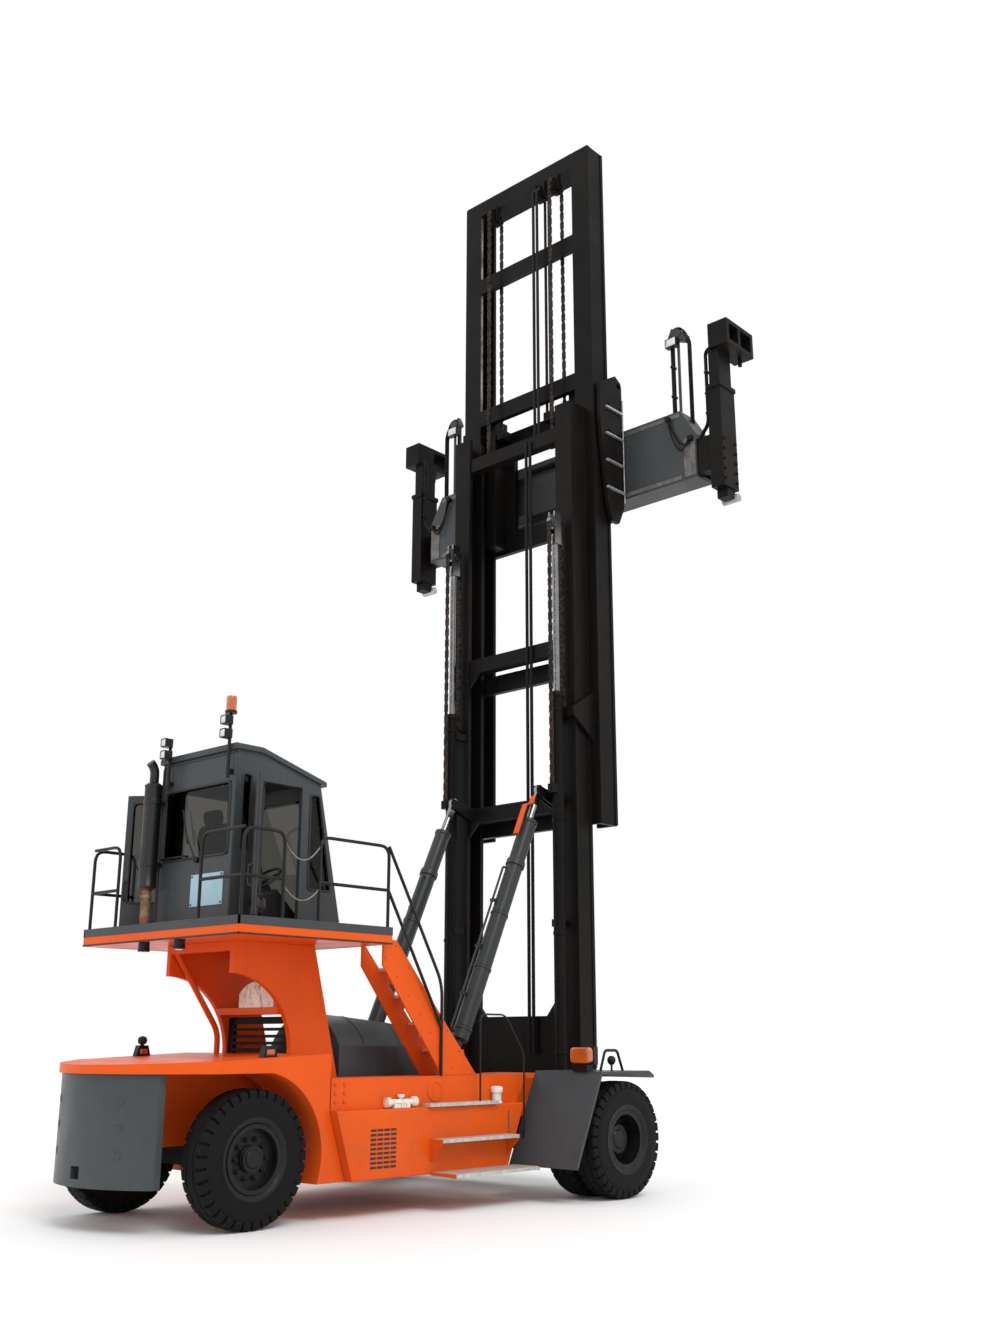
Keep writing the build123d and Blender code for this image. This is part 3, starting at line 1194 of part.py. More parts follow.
def nodes():
    """Every node of the machine by name."""
    made = {
        "chassis_frame": chassis_frame(),
        "counterweight": counterweight(),
        "rear_cover": rear_cover(),
        "side_box_left": side_box(),
        "side_box_right": other_side(side_box()),
        "step_treads": step_treads(),
        "stair_stringers": stair_stringers(),
        "pedestal": pedestal(),
        "engine_hood": engine_hood(),
        "engine_block": engine_block(),
        "radiator_grille": radiator_grille(),
        "intake_box": intake_box(),
        "platform": platform(),
        "railings": railings(),
        "cab_rear_wall": cab_rear_wall(),
        "cab_front_wall": cab_front_wall(),
        "cab_roof": cab_roof(),
        "cab_glass": cab_glass(),
        "cab_interior": cab_interior(),
        "exhaust": exhaust(),
        "lamps": lamps(),
        "front_axle": front_axle(),
        "front_fenders": front_fenders(),
        "steer_axle": steer_axle(),
        "outer_crossbars": outer_crossbars(),
        "lift_barrels": lift_barrels(),
        "mast_hoses": mast_hoses(),
        "lift_rods": lift_rods(),
        "lift_chains_rear": lift_chains_rear(),
        "lift_chains_front": lift_chains_front(),
        "carriage_chains_up": carriage_chains_up(),
        "carriage_chains_down": carriage_chains_down(),
        "inner_crossbars": inner_crossbars(),
        "tilt_barrels": tilt_barrels(),
        "tilt_rods": tilt_rods(),
        "carriage": carriage(),
        "spreader_beam": spreader_beam(),
    }
    tyres, rims = front_tyres(), front_rims()
    for side in SIDES:
        made["cab_wall_" + side] = turned(cab_side(), side)
        made["door_" + side] = turned(swung(door()), side)
        made["door_glass_" + side] = turned(swung(door_pane()), side)
        made["tyres_front_" + side] = turned(tyres, side)
        made["rims_front_" + side] = turned(rims, side)
        made["tyre_rear_" + side] = turned(rear_tyre(), side)
        made["rim_rear_" + side] = turned(rear_rim(), side)
        made["knuckle_" + side] = turned(knuckle(), side)
        made["outer_upright_" + side] = turned(outer_upright(), side)
        made["inner_upright_" + side] = turned(inner_upright(), side)
        made["arm_" + side] = arm(side)
    return made


def main():
    os.makedirs("parts", exist_ok=True)
    for name, shape in nodes().items():
        export_step(Pos(-ORIGIN_X, 0, 0) * shape, f"parts/{name}.step")


if __name__ == "__main__":
    main()
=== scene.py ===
# %% [markdown]
# # An empty container handler, dressed
# The solid model arrives as a fixed frame: every CAD piece already sits where it belongs, in metres,
# with +X forward, +Y left and +Z up. This lesson gives each piece a worn industrial finish and adds
# the small parts that a solid modeller leaves out: chain links, tread blocks, hoses, bolts and lamps.

# %% Load the frame
import math

import bpy
import numpy as np
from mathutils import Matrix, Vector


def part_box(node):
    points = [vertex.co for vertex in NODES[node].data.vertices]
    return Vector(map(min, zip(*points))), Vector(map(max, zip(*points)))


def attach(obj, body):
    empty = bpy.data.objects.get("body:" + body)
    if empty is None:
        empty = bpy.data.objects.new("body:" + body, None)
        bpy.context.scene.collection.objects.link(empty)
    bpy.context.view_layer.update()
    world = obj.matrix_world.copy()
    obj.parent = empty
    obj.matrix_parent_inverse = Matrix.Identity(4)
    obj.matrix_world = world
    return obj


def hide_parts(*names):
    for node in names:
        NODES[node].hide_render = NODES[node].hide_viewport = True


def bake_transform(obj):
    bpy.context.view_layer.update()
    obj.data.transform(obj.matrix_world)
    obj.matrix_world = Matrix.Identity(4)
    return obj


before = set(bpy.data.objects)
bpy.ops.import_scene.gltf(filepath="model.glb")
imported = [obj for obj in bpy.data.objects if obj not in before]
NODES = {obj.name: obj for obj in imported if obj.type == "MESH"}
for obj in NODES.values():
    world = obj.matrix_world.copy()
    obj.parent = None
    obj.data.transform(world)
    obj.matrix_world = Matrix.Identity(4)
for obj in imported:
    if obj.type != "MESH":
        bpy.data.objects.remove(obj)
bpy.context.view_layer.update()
# place of the front axle along X, in metres
SHIFT = 1.72

# %% [markdown]
# ## Camera, floor and light
# The picture was taken from low behind the right rear corner with a short lens, so the mast towers
# over the cab. A camera is only a place, a direction given by two angles, and a focal length.

# %% Camera
EYE = (-10.705, -11.398, 1.635)
YAW, PITCH = math.radians(41.887), math.radians(15.76)
FOCAL_PX, LONG_SIDE_PX = 1330.5, 1334
lens = bpy.data.cameras.new("eye")
lens.sensor_width = 36.0
lens.lens = FOCAL_PX / LONG_SIDE_PX * lens.sensor_width
lens.clip_end = 400
camera = bpy.data.objects.new("eye", lens)
camera.location = EYE
camera.rotation_euler = (math.pi / 2 + PITCH, 0, YAW - math.pi / 2)
bpy.context.collection.objects.link(camera)
bpy.context.scene.camera = camera
print("focal length", round(lens.lens, 2), "mm")

# %% [markdown]
# The floor is one wide pale sheet. A bright even sky and two very soft suns light it as a white tent would:
# dark rubber and black steel keep their shapes, and nothing glares.

# %% Floor and light
FLOOR_HALF = 150.0
paper = bpy.data.materials.new("pale floor")
paper.use_nodes = True
paper.node_tree.nodes["Principled BSDF"].inputs["Base Color"].default_value = (0.86, 0.86, 0.86, 1)
paper.node_tree.nodes["Principled BSDF"].inputs["Roughness"].default_value = 0.7
corners = FLOOR_HALF * np.array([[-1, -1, 0], [1, -1, 0], [1, 1, 0], [-1, 1, 0]])
floor_mesh = bpy.data.meshes.new("floor")
floor_mesh.from_pydata(corners.tolist(), [], [[0, 1, 2, 3]])
floor = bpy.data.objects.new("floor", floor_mesh)
floor.data.materials.append(paper)
bpy.context.collection.objects.link(floor)

world = bpy.data.worlds.new("tent")
bpy.context.scene.world = world
world.use_nodes = True
sky = world.node_tree.nodes["Background"]
sky.inputs["Color"].default_value = (1, 1, 1, 1)
sky.inputs["Strength"].default_value = 1.0
SUNS = (
    # name, turn in degrees, strength, spread in degrees
    ("key", (42, 0, -20), 1.3, 25),
    ("fill", (60, 0, -115), 0.3, 60),
)
for name, turn, strength, spread in SUNS:
    sun = bpy.data.lights.new(name, "SUN")
    sun.energy = strength
    sun.angle = math.radians(spread)
    holder = bpy.data.objects.new(name, sun)
    holder.rotation_euler = [math.radians(v) for v in turn]
    bpy.context.collection.objects.link(holder)
bpy.context.scene.view_settings.view_transform = "Standard"
print("stage ready")

# %% [markdown]
# ## A short way to write a material
# A node material is a chain of small sums. Each call below adds one node and hands back its output. The
# rounded normal comes from the Bevel node, which makes sharp CAD edges catch light as a folded plate does.

# %% Recipe
class Recipe:
    """One node material: each call adds a node and returns its output socket."""

    def __init__(self, name):
        self.material = bpy.data.materials.new(name)
        self.material.use_nodes = True
        self.tree = self.material.node_tree
        self.shader = self.tree.nodes["Principled BSDF"]
        self.place = self.tree.nodes.new("ShaderNodeTexCoord").outputs["Object"]

    def plug(self, value, socket):
        if isinstance(value, bpy.types.NodeSocket):
            self.tree.links.new(value, socket)
        elif isinstance(value, tuple) and len(value) == 3 and socket.type == "RGBA":
            socket.default_value = (*value, 1)
        else:
            socket.default_value = value

    def node(self, kind, output, inputs, **settings):
        made = self.tree.nodes.new(kind)
        for key, value in settings.items():
            setattr(made, key, value)
        for key, value in inputs.items():
            self.plug(value, made.inputs[key])
        return made.outputs[output]

    def noise(self, scale, detail=4.0, rough=0.55, stretch=None):
        """Cloudy noise over the object's own coordinates, which a stretch multiplies along each axis."""
        vector = self.place
        if stretch is not None:
            vector = self.node("ShaderNodeMapping", "Vector", {"Vector": vector, "Scale": stretch})
        inputs = {"Vector": vector, "Scale": scale, "Detail": detail, "Roughness": rough}
        return self.node("ShaderNodeTexNoise", "Fac", inputs)

    def ramp(self, value, low, high, out_low=0.0, out_high=1.0):
        """Straight line from out_low at low to out_high at high, held beyond both."""
        inputs = {"Value": value, "From Min": low, "From Max": high, "To Min": out_low, "To Max": out_high}
        return self.node("ShaderNodeMapRange", "Result", inputs, clamp=True)

    def math(self, how, a, b):
        return self.node("ShaderNodeMath", 0, {0: a, 1: b}, operation=how)

    def mix(self, share, a, b):
        """Colour a where the share is 0 and colour b where it is 1."""
        return self.node("ShaderNodeMix", 2, {0: share, 6: a, 7: b}, data_type="RGBA")

    def height(self):
        """Height above the floor in metres."""
        return self.node("ShaderNodeSeparateXYZ", "Z", {"Vector": self.place})

    def rounded(self, radius):
        return self.node("ShaderNodeBevel", "Normal", {"Radius": radius}, samples=4)

    def edges(self, normal, soft=0.25):
        """1 on an edge and 0 on a flat: one minus the dot of the rounded and the true normal."""
        true = self.node("ShaderNodeNewGeometry", "Normal", {})
        dot = self.node("ShaderNodeVectorMath", "Value", {0: normal, 1: true}, operation="DOT_PRODUCT")
        return self.ramp(dot, 1.0, 1.0 - soft)

    def bump(self, height, strength, distance, normal=None):
        inputs = {"Height": height, "Strength": strength, "Distance": distance}
        if normal is not None:
            inputs["Normal"] = normal
        return self.node("ShaderNodeBump", "Normal", inputs)

    def finish(self, colour, rough, metal=0.0, normal=None, **other):
        self.plug(colour, self.shader.inputs["Base Color"])
        self.plug(rough, self.shader.inputs["Roughness"])
        self.plug(metal, self.shader.inputs["Metallic"])
        if normal is not None:
            self.plug(normal, self.shader.inputs["Normal"])
        for key, value in other.items():
            self.plug(value, self.shader.inputs[key.replace("_", " ")])
        return self.material


print("recipe ready")

# %% [markdown]
# ## Paint that has worked outdoors
# Paint fades in broad patches, dust gathers low down, rain draws streaks, and edges lose paint. Each is a
# small texture: broad noise, the height above the floor, noise stretched along Z, and the angle between the
# true normal and a rounded one.

# %% Worn paint
def worn_paint(name, colour, faded, dust, bare, rough, dust_height, wear, shine=0.22, radius=0.007):
    """Paint with fading, dust by height, rain streaks and bare edges."""
    r = Recipe(name)
    base = r.mix(r.ramp(r.noise(0.7), 0.35, 0.7), colour, faded)
    streak = r.ramp(r.noise(1.0, 6.0, 0.6, (9.0, 9.0, 0.5)), 0.52, 0.78, 0.0, 0.3)
    low = r.ramp(r.height(), 0.2, dust_height, 0.5, 0.03)
    patchy = r.math("MULTIPLY", low, r.ramp(r.noise(5.0, 8.0, 0.65), 0.3, 0.75))
    grime = r.math("MAXIMUM", streak, patchy)
    base = r.mix(grime, base, dust)
    normal = r.rounded(radius)
    chips = r.math("MULTIPLY", r.edges(normal), r.ramp(r.noise(14.0, 8.0, 0.7), 0.5, 0.66))
    base = r.mix(r.math("MULTIPLY", chips, wear), base, bare)
    gloss = r.ramp(r.noise(3.0, 6.0), 0.3, 0.7, rough - 0.07, rough + 0.1)
    gloss = r.math("ADD", gloss, r.math("MULTIPLY", grime, 0.35))
    surface = r.bump(r.noise(160.0, 2.0), 0.05, 0.002, normal)
    return r.finish(base, gloss, 0.0, surface, Coat_Weight=shine / 4, Coat_Roughness=0.18,
                    Specular_IOR_Level=shine)


# colour, faded colour, dust and bare metal; then roughness, dust height, edge wear and shine
ORANGE = worn_paint("orange enamel", (0.66, 0.074, 0.003), (0.72, 0.094, 0.005), (0.30, 0.085, 0.03),
                    (0.07, 0.05, 0.04), 0.36, 1.6, 0.7, 0.14)
CHARCOAL = worn_paint("charcoal enamel", (0.038, 0.044, 0.047), (0.050, 0.057, 0.061),
                      (0.076, 0.082, 0.085), (0.15, 0.145, 0.14), 0.34, 1.4, 0.55, 0.18)
MAST_BLACK = worn_paint("mast black", (0.0050, 0.0046, 0.0043), (0.0095, 0.0082, 0.0074),
                        (0.026, 0.018, 0.014), (0.085, 0.060, 0.045), 0.42, 2.0, 0.8, 0.07)
SPREADER_GREY = worn_paint("spreader grey", (0.030, 0.034, 0.036), (0.044, 0.049, 0.051),
                           (0.065, 0.056, 0.048), (0.15, 0.12, 0.10), 0.42, 2.0, 0.9)
CYLINDER_GREY = worn_paint("cylinder grey", (0.021, 0.023, 0.024), (0.031, 0.034, 0.035),
                           (0.055, 0.049, 0.044), (0.12, 0.10, 0.09), 0.36, 1.6, 0.6)
RAIL_BLACK = worn_paint("rail black", (0.0045, 0.0045, 0.0045), (0.009, 0.0085, 0.008),
                        (0.025, 0.022, 0.02), (0.06, 0.055, 0.05), 0.36, 1.0, 0.4)
print("six paints")

# %% [markdown]
# ## Rubber and plastic
# Tyre rubber is nearly black but grey with dust in its grain. Hoses are smoother, and moulded plastic has
# a grain of small cells.

# %% Rubber and plastic
r = Recipe("tyre rubber")
dust = r.ramp(r.noise(9.0, 8.0, 0.7), 0.4, 0.8, 0.0, 0.5)
colour = r.mix(dust, (0.0040, 0.0040, 0.0043), (0.014, 0.0135, 0.013))
grain = r.bump(r.noise(220.0, 3.0), 0.25, 0.003, r.rounded(0.006))
TYRE = r.finish(colour, r.ramp(dust, 0.0, 0.6, 0.55, 0.85), 0.0, grain, Specular_IOR_Level=0.12)

r = Recipe("hose rubber")
wear = r.ramp(r.noise(40.0, 5.0), 0.4, 0.75)
colour = r.mix(wear, (0.004, 0.004, 0.004), (0.014, 0.013, 0.012))
HOSE = r.finish(colour, 0.55, 0.0, r.bump(r.noise(300.0), 0.2, 0.001), Specular_IOR_Level=0.15)

r = Recipe("moulded plastic")
cells = r.node("ShaderNodeTexVoronoi", "Distance", {"Vector": r.place, "Scale": 260.0})
colour = r.mix(r.ramp(r.noise(4.0), 0.3, 0.7), (0.010, 0.010, 0.0105), (0.018, 0.018, 0.0185))
PLASTIC = r.finish(colour, 0.6, 0.0, r.bump(cells, 0.25, 0.001, r.rounded(0.006)))
print("rubber and plastic")

# %% [markdown]
# ## Metal
# A cylinder rod is chrome with fine rings of oil. Chain plates are oiled steel with rust in the gaps.
# Tread plates are pale aluminium, ribbed by a wave and scuffed where boots land.

# %% Metal
r = Recipe("rim steel")
dust = r.ramp(r.noise(7.0, 8.0, 0.7), 0.42, 0.75, 0.0, 0.55)
colour = r.mix(dust, (0.0048, 0.0048, 0.0052), (0.014, 0.0135, 0.013))
RIM = r.finish(colour, r.ramp(dust, 0.0, 0.55, 0.38, 0.7), 0.0, r.rounded(0.006), Specular_IOR_Level=0.25)

r = Recipe("rod chrome")
ring = r.noise(1.0, 3.0, 0.5, (3.0, 3.0, 6.0))
colour = r.mix(r.ramp(ring, 0.35, 0.75), (0.27, 0.27, 0.28), (0.18, 0.175, 0.17))
ROD = r.finish(colour, r.ramp(ring, 0.3, 0.8, 0.2, 0.3), 1.0)

r = Recipe("chain steel")
rust = r.ramp(r.noise(9.0, 8.0, 0.7), 0.42, 0.66)
colour = r.mix(rust, (0.018, 0.016, 0.015), (0.075, 0.040, 0.026))
CHAIN = r.finish(colour, r.ramp(rust, 0.0, 1.0, 0.36, 0.72), r.ramp(rust, 0.0, 1.0, 0.75, 0.2))

r = Recipe("tread aluminium")
scuff = r.ramp(r.noise(18.0, 8.0, 0.65, (1.0, 4.0, 1.0)), 0.35, 0.75)
colour = r.mix(scuff, (0.62, 0.61, 0.58), (0.36, 0.34, 0.31))
wave = {"Vector": r.place, "Scale": 16.0, "Distortion": 0.0}
ribs = r.bump(r.node("ShaderNodeTexWave", "Fac", wave, bands_direction="X"), 0.6, 0.006, r.rounded(0.004))
TREAD = r.finish(colour, r.ramp(scuff, 0.0, 1.0, 0.4, 0.6), 0.35, ribs)

r = Recipe("cast metal")
oil = r.ramp(r.noise(4.0, 8.0, 0.7), 0.4, 0.7)
colour = r.mix(oil, (0.045, 0.043, 0.042), (0.016, 0.013, 0.011))
grain = r.bump(r.noise(60.0, 6.0), 0.35, 0.004, r.rounded(0.008))
CAST = r.finish(colour, r.ramp(oil, 0.0, 1.0, 0.7, 0.4), 0.5, grain)
print("five metals")

# %% [markdown]
# ## Glass, old sheet metal and the exhaust
# The glass is tinted and smeared, and its tint is painted far darker than real glass, as painted shade of the
# cab inside. The intake is old cream paint, scratched and dented, and the exhaust is black above and bare
# rusty pipe below.

# %% Glass, sheet and exhaust
r = Recipe("cab glass painted dark as shade")
gloss = r.ramp(r.noise(3.0, 8.0, 0.7), 0.35, 0.8, 0.015, 0.10)
# Near-black colour: a real light tint plus painted shade that stands in for the dark cab inside
GLASS_PAINTED_DARK = r.finish((0.065, 0.062, 0.056), gloss, 0.0, None, Transmission_Weight=1.0, IOR=1.27)

r = Recipe("cream sheet")
scratch = r.ramp(r.noise(1.0, 9.0, 0.75, (6.0, 22.0, 9.0)), 0.52, 0.66)
colour = r.mix(r.ramp(r.noise(6.0, 8.0, 0.7), 0.4, 0.72), (0.82, 0.76, 0.66), (0.60, 0.52, 0.42))
colour = r.mix(scratch, colour, (0.12, 0.09, 0.07))
CREAM = r.finish(colour, 0.62, 0.0, r.bump(r.noise(9.0, 3.0), 0.4, 0.012, r.rounded(0.008)))

r = Recipe("burnt pipe")
rust = r.math("MULTIPLY", r.ramp(r.height(), 3.19, 3.14), r.ramp(r.noise(7.0, 8.0, 0.7), 0.25, 0.5))
colour = r.mix(rust, (0.004, 0.004, 0.004), (0.20, 0.095, 0.05))
pale = r.math("MULTIPLY", rust, r.ramp(r.noise(3.0, 4.0), 0.5, 0.7))
colour = r.mix(pale, colour, (0.45, 0.38, 0.31))
rough, metal = r.ramp(rust, 0.0, 1.0, 0.38, 0.65), r.ramp(rust, 0.0, 1.0, 0.1, 0.6)
BURNT = r.finish(colour, rough, metal, r.rounded(0.006))
print("glass, sheet and exhaust")

# %% [markdown]
# ## Finishes for the small parts
# Zinc bolts, galvanised guides, lamp lenses and rubber seals are small, so they share one short recipe.

# %% Small finishes
def small_finish(name, colour, other, scale, rough, metal, **more):
    """Two tones mixed by noise."""
    r = Recipe(name)
    tone = r.ramp(r.noise(scale, 6.0, 0.65), 0.35, 0.7)
    gloss = r.ramp(tone, 0.0, 1.0, rough, rough + 0.15)
    return r.finish(r.mix(tone, colour, other), gloss, metal, None, **more)


# two colours, then scale of the noise, roughness and metal
ZINC = small_finish("zinc", (0.34, 0.33, 0.31), (0.16, 0.13, 0.10), 30.0, 0.35, 0.8)
GALVANISED = small_finish("galvanised", (0.52, 0.53, 0.54), (0.30, 0.28, 0.26), 12.0, 0.38, 0.7)
SEAL = small_finish("seal rubber", (0.008, 0.008, 0.008), (0.018, 0.018, 0.018), 20.0, 0.5, 0.0)
AMBER = small_finish("amber lens", (0.52, 0.105, 0.008), (0.34, 0.060, 0.006), 9.0, 0.12, 0.0,
                     Coat_Weight=1.0)
LENS = small_finish("clear lens", (0.66, 0.68, 0.70), (0.46, 0.48, 0.50), 60.0, 0.08, 0.3, Coat_Weight=1.0)
PALE_BLUE = small_finish("pale blue sheet", (0.32, 0.50, 0.58), (0.27, 0.43, 0.50), 3.0, 0.4, 0.0)
CLOTH = small_finish("seat cloth", (0.020, 0.021, 0.024), (0.036, 0.037, 0.040), 160.0, 0.85, 0.0,
                     Sheen_Weight=0.3)
WORN_TRACK = small_finish("worn track", (0.30, 0.29, 0.28), (0.03, 0.022, 0.018), 5.0, 0.35, 0.6)
WEAR_STRIP = small_finish("pale wear strip", (0.15, 0.145, 0.14), (0.07, 0.058, 0.05), 9.0, 0.5, 0.3)
OFF_WHITE = small_finish("off-white cap", (0.70, 0.69, 0.65), (0.52, 0.50, 0.46), 25.0, 0.4, 0.0)
print("ten small finishes")

# %% [markdown]
# ## Dress the CAD nodes
# A CAD piece whose shape is right keeps its mesh and only gets a finish. A short table says which.

# %% Finishes for the nodes
FINISHES = (
    (ORANGE, "chassis_frame rear_cover side_box_left side_box_right stair_stringers pedestal platform"),
    (CHARCOAL, "counterweight engine_hood cab_rear_wall cab_front_wall cab_roof cab_wall_left "
               "cab_wall_right door_left door_right front_fenders"),
    (MAST_BLACK, "front_axle steer_axle outer_crossbars lift_barrels inner_crossbars knuckle_left "
                 "knuckle_right outer_upright_left outer_upright_right inner_upright_left "
                 "inner_upright_right carriage radiator_grille arm_left arm_right"),
    (SPREADER_GREY, "spreader_beam"),
    (CYLINDER_GREY, "tilt_barrels"),
    (RAIL_BLACK, "railings lamps"),
    (TYRE, "tyres_front_left tyres_front_right tyre_rear_left tyre_rear_right"),
    (RIM, "rims_front_left rims_front_right rim_rear_left rim_rear_right"),
    (ROD, "lift_rods tilt_rods"),
    (CHAIN, "lift_chains_rear lift_chains_front carriage_chains_up carriage_chains_down"),
    (TREAD, "step_treads"),
    (GLASS_PAINTED_DARK, "cab_glass door_glass_left door_glass_right"),
    (HOSE, "mast_hoses"),
    (PLASTIC, "cab_interior"),
    (CAST, "engine_block"),
    (CREAM, "intake_box"),
    (BURNT, "exhaust"),
)
dressed = 0
for material, names in FINISHES:
    for name in names.split():
        NODES[name].data.materials.clear()
        NODES[name].data.materials.append(material)
        dressed += 1
print("dressed", dressed, "of", len(NODES))

# %% [markdown]
# ## Surfaces from arrays
# Every new piece is a surface worked out with whole arrays: a grid of points from two parameters. A shape is
# a pair, an array of points and a list of face arrays, so shapes join and copy with plain array sums.

# %% Grids, tubes and paths
def mm(x, y, z):
    """Point in the frame, in metres, from machine millimetres measured from the front axle."""
    return np.array([x / 1000 + SHIFT, y / 1000, z / 1000])


def unit(v):
    return v / np.linalg.norm(v, axis=-1, keepdims=True)


def around(sides):
    """Angles of one full turn, running along the second axis of a grid."""
    return np.linspace(0, 2 * np.pi, sides, endpoint=False)[None, :, None]


def skin(points, close_u=False, close_v=False, caps=False):
    """Quads over a grid of points with shape (rows, columns, 3); caps close the first and last row."""
    rows, cols = points.shape[:2]
    steps_u, steps_v = np.arange(rows if close_u else rows - 1), np.arange(cols if close_v else cols - 1)
    i, j = np.meshgrid(steps_u, steps_v, indexing="ij")
    k, l = (i + 1) % rows, (j + 1) % cols
    faces = [np.stack([i * cols + j, k * cols + j, k * cols + l, i * cols + l], -1).reshape(-1, 4)]
    if caps:
        faces += [np.arange(cols)[None, :], ((rows - 1) * cols + np.arange(cols))[None, ::-1]]
    return points.reshape(-1, 3), faces


def tube(path, radius, sides=10):
    """p(s, t) = path(s) + r (cos t n(s) + sin t b(s)), with n and b taken from the path's own plane."""
    path = np.asarray(path, float)
    along = unit(np.gradient(path, axis=0))
    flat = np.linalg.svd(path - path.mean(0))[2][-1]
    n = unit(np.cross(along, flat))
    b = np.cross(n, along)
    t = around(sides)
    ring = np.cos(t) * n[:, None] + np.sin(t) * b[:, None]
    return skin(path[:, None] + radius * ring, close_v=True, caps=True)


def bent(corners, radius, steps=6):
    """Path through the corners, each turned on a parabola that starts a radius before it."""
    c = np.asarray(corners, float)
    path = [c[:1]]
    s = np.linspace(0, 1, steps)[:, None]
    for a, b, d in zip(c[:-2], c[1:-1], c[2:]):
        p, q = b + radius * unit(a - b), b + radius * unit(d - b)
        path.append((1 - s) ** 2 * p + 2 * s * (1 - s) * b + s ** 2 * q)
    return np.concatenate(path + [c[-1:]])


print("grid, tube and path builders")

# %% [markdown]
# ## Turned and flat-sided shapes
# A lathe shape spins a profile about an axis. A slab is a box between two corners, and a prism carries an
# outline along a line.

# %% Lathe, slab and prism
def lathe(profile, centre, axis, sides=32, shut=True):
    """p(s, t) = centre + h(s) a + r(s) (cos t n + sin t b), for (r, h) pairs along the axis a."""
    a = unit(np.asarray(axis, float))
    n = unit(np.cross(a, [0.3, 0.5, 0.81]))
    b = np.cross(a, n)
    r, h = np.asarray(profile, float).T[:, :, None, None]
    t = around(sides)
    return skin(np.asarray(centre) + h * a + r * (np.cos(t) * n + np.sin(t) * b), close_v=True, caps=shut)


def slab(low, high):
    """Box between two corners."""
    pick = np.array([[0, 0, 0], [1, 0, 0], [1, 1, 0], [0, 1, 0], [0, 0, 1], [1, 0, 1], [1, 1, 1], [0, 1, 1]])
    faces = np.array([[0, 3, 2, 1], [4, 5, 6, 7], [0, 1, 5, 4], [1, 2, 6, 5], [2, 3, 7, 6], [3, 0, 4, 7]])
    low, high = np.minimum(low, high), np.maximum(low, high)
    return low + pick * (high - low), [faces]


def prism(outline, depth):
    """Closed outline of points in space, carried along the vector depth."""
    ring = np.asarray(outline, float)
    return skin(np.stack([ring + np.asarray(depth), ring]), close_v=True, caps=True)


print("lathe, slab and prism builders")

# %% [markdown]
# ## Join, copy, mirror and place
# One small shape is copied to many places in one sum, and many are drawn on one side and mirrored. A piece
# is a shape made into a mesh that rides on a body.

# %% Join, copy, mirror and place
def joined(*shapes):
    starts = np.cumsum([0] + [len(points) for points, _ in shapes[:-1]])
    return np.concatenate([s[0] for s in shapes]), [f + n for s, n in zip(shapes, starts) for f in s[1]]


def copies(shape, places, frames=None):
    """One shape at many places, each turned by its own 3 by 3 frame."""
    points, faces = shape
    places = np.asarray(places, float)
    turned = points[None] if frames is None else np.einsum("nij,vj->nvi", frames, points)
    shift = (np.arange(len(places)) * len(points))[:, None, None]
    moved = [(f[None] + shift).reshape(-1, f.shape[1]) for f in faces]
    return (turned + places[:, None]).reshape(-1, 3), moved


def mirrored(shape):
    """The same shape on the other side of the machine, faces turned to stay outward."""
    return shape[0] * [1, -1, 1], [f[:, ::-1] for f in shape[1]]


def both(*shapes):
    """The shapes as one, with its mirror image."""
    shape = joined(*shapes)
    return joined(shape, mirrored(shape))


def piece(name, body, material, shape, sharp=38):
    """Mesh object from a shape, riding on a body unless that is None; sharp edges stay crisp."""
    mesh = bpy.data.meshes.new(name)
    mesh.from_pydata(shape[0].tolist(), [], [row for f in shape[1] for row in f.tolist()])
    mesh.materials.append(material)
    mesh.shade_smooth()
    mesh.set_sharp_from_angle(angle=math.radians(sharp))
    made = bpy.data.objects.new(name, mesh)
    bpy.context.collection.objects.link(made)
    if body:
        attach(made, body)
    print(name, len(mesh.polygons), "faces on", body)
    return made


print("pieces can be placed")

# %% [markdown]
# ## Tyres
# A tyre is a profile spun about the axle. The profile runs over bead, wall, shoulder and tread, with two
# grooves. Along the turn the shoulder drops into a slot once per block, so the radius is a function of
# both parameters: r(s, t) = profile(s) - depth * shoulder(s) * slot(t). The wall is notched the same way.

# %% Tyres
BLOCKS, TYRE_R, SLOT_DEPTH, NOTCH = 34, 0.613, 0.022, 0.018
SHOULDER_Y, SHOULDER_R, ZIGZAG, TWIN_STEP = 0.088, 0.54, 0.007, 0.1925
HALF_PROFILE = np.array([
    # radius, distance from the tyre's middle
    (0.300, 0.118), (0.312, 0.134), (0.338, 0.150), (0.372, 0.156), (0.384, 0.1575),
    (0.389, 0.154), (0.450, 0.1575), (0.505, 0.154), (0.528, 0.149), (0.533, 0.145),
    (0.545, 0.150), (0.584, 0.147), (0.603, 0.137), (0.610, 0.115), (0.612, 0.085),
    (0.6122, 0.060), (0.598, 0.056), (0.598, 0.045), (0.6125, 0.041), (0.613, 0.0)])


def tyre_shape(centre):
    """r(s, t) and y(s, t) over the profile and the turn; the tread's grooves zigzag with the blocks."""
    other = HALF_PROFILE[-2::-1] * [1, -1]
    r, y = np.concatenate([HALF_PROFILE, other]).T[:, :, None]
    share = (np.arange(BLOCKS)[:, None] + np.array([0.0, 0.37, 0.41, 0.59, 0.63])).ravel() / BLOCKS
    cell = (share * BLOCKS) % 1.0
    slot = ((cell > 0.40) & (cell < 0.60)).astype(float)[None]
    shoulder = ((np.abs(y) > SHOULDER_Y) & (r > SHOULDER_R)).astype(float)
    groove = (np.abs(y) < 0.07) & (r > 0.59)
    radius = r - SLOT_DEPTH * shoulder * slot
    across = y + ZIGZAG * np.sign(np.sin(share * BLOCKS * np.pi))[None] * groove
    across = across - NOTCH * np.sign(y) * shoulder * slot
    t = 2 * np.pi * share[None]
    grid = np.stack([radius * np.cos(t), across, radius * np.sin(t)], -1)
    return skin(grid + centre, close_v=True)


def middle_of(node):
    low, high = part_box(node)
    return (np.array(low) + high) / 2


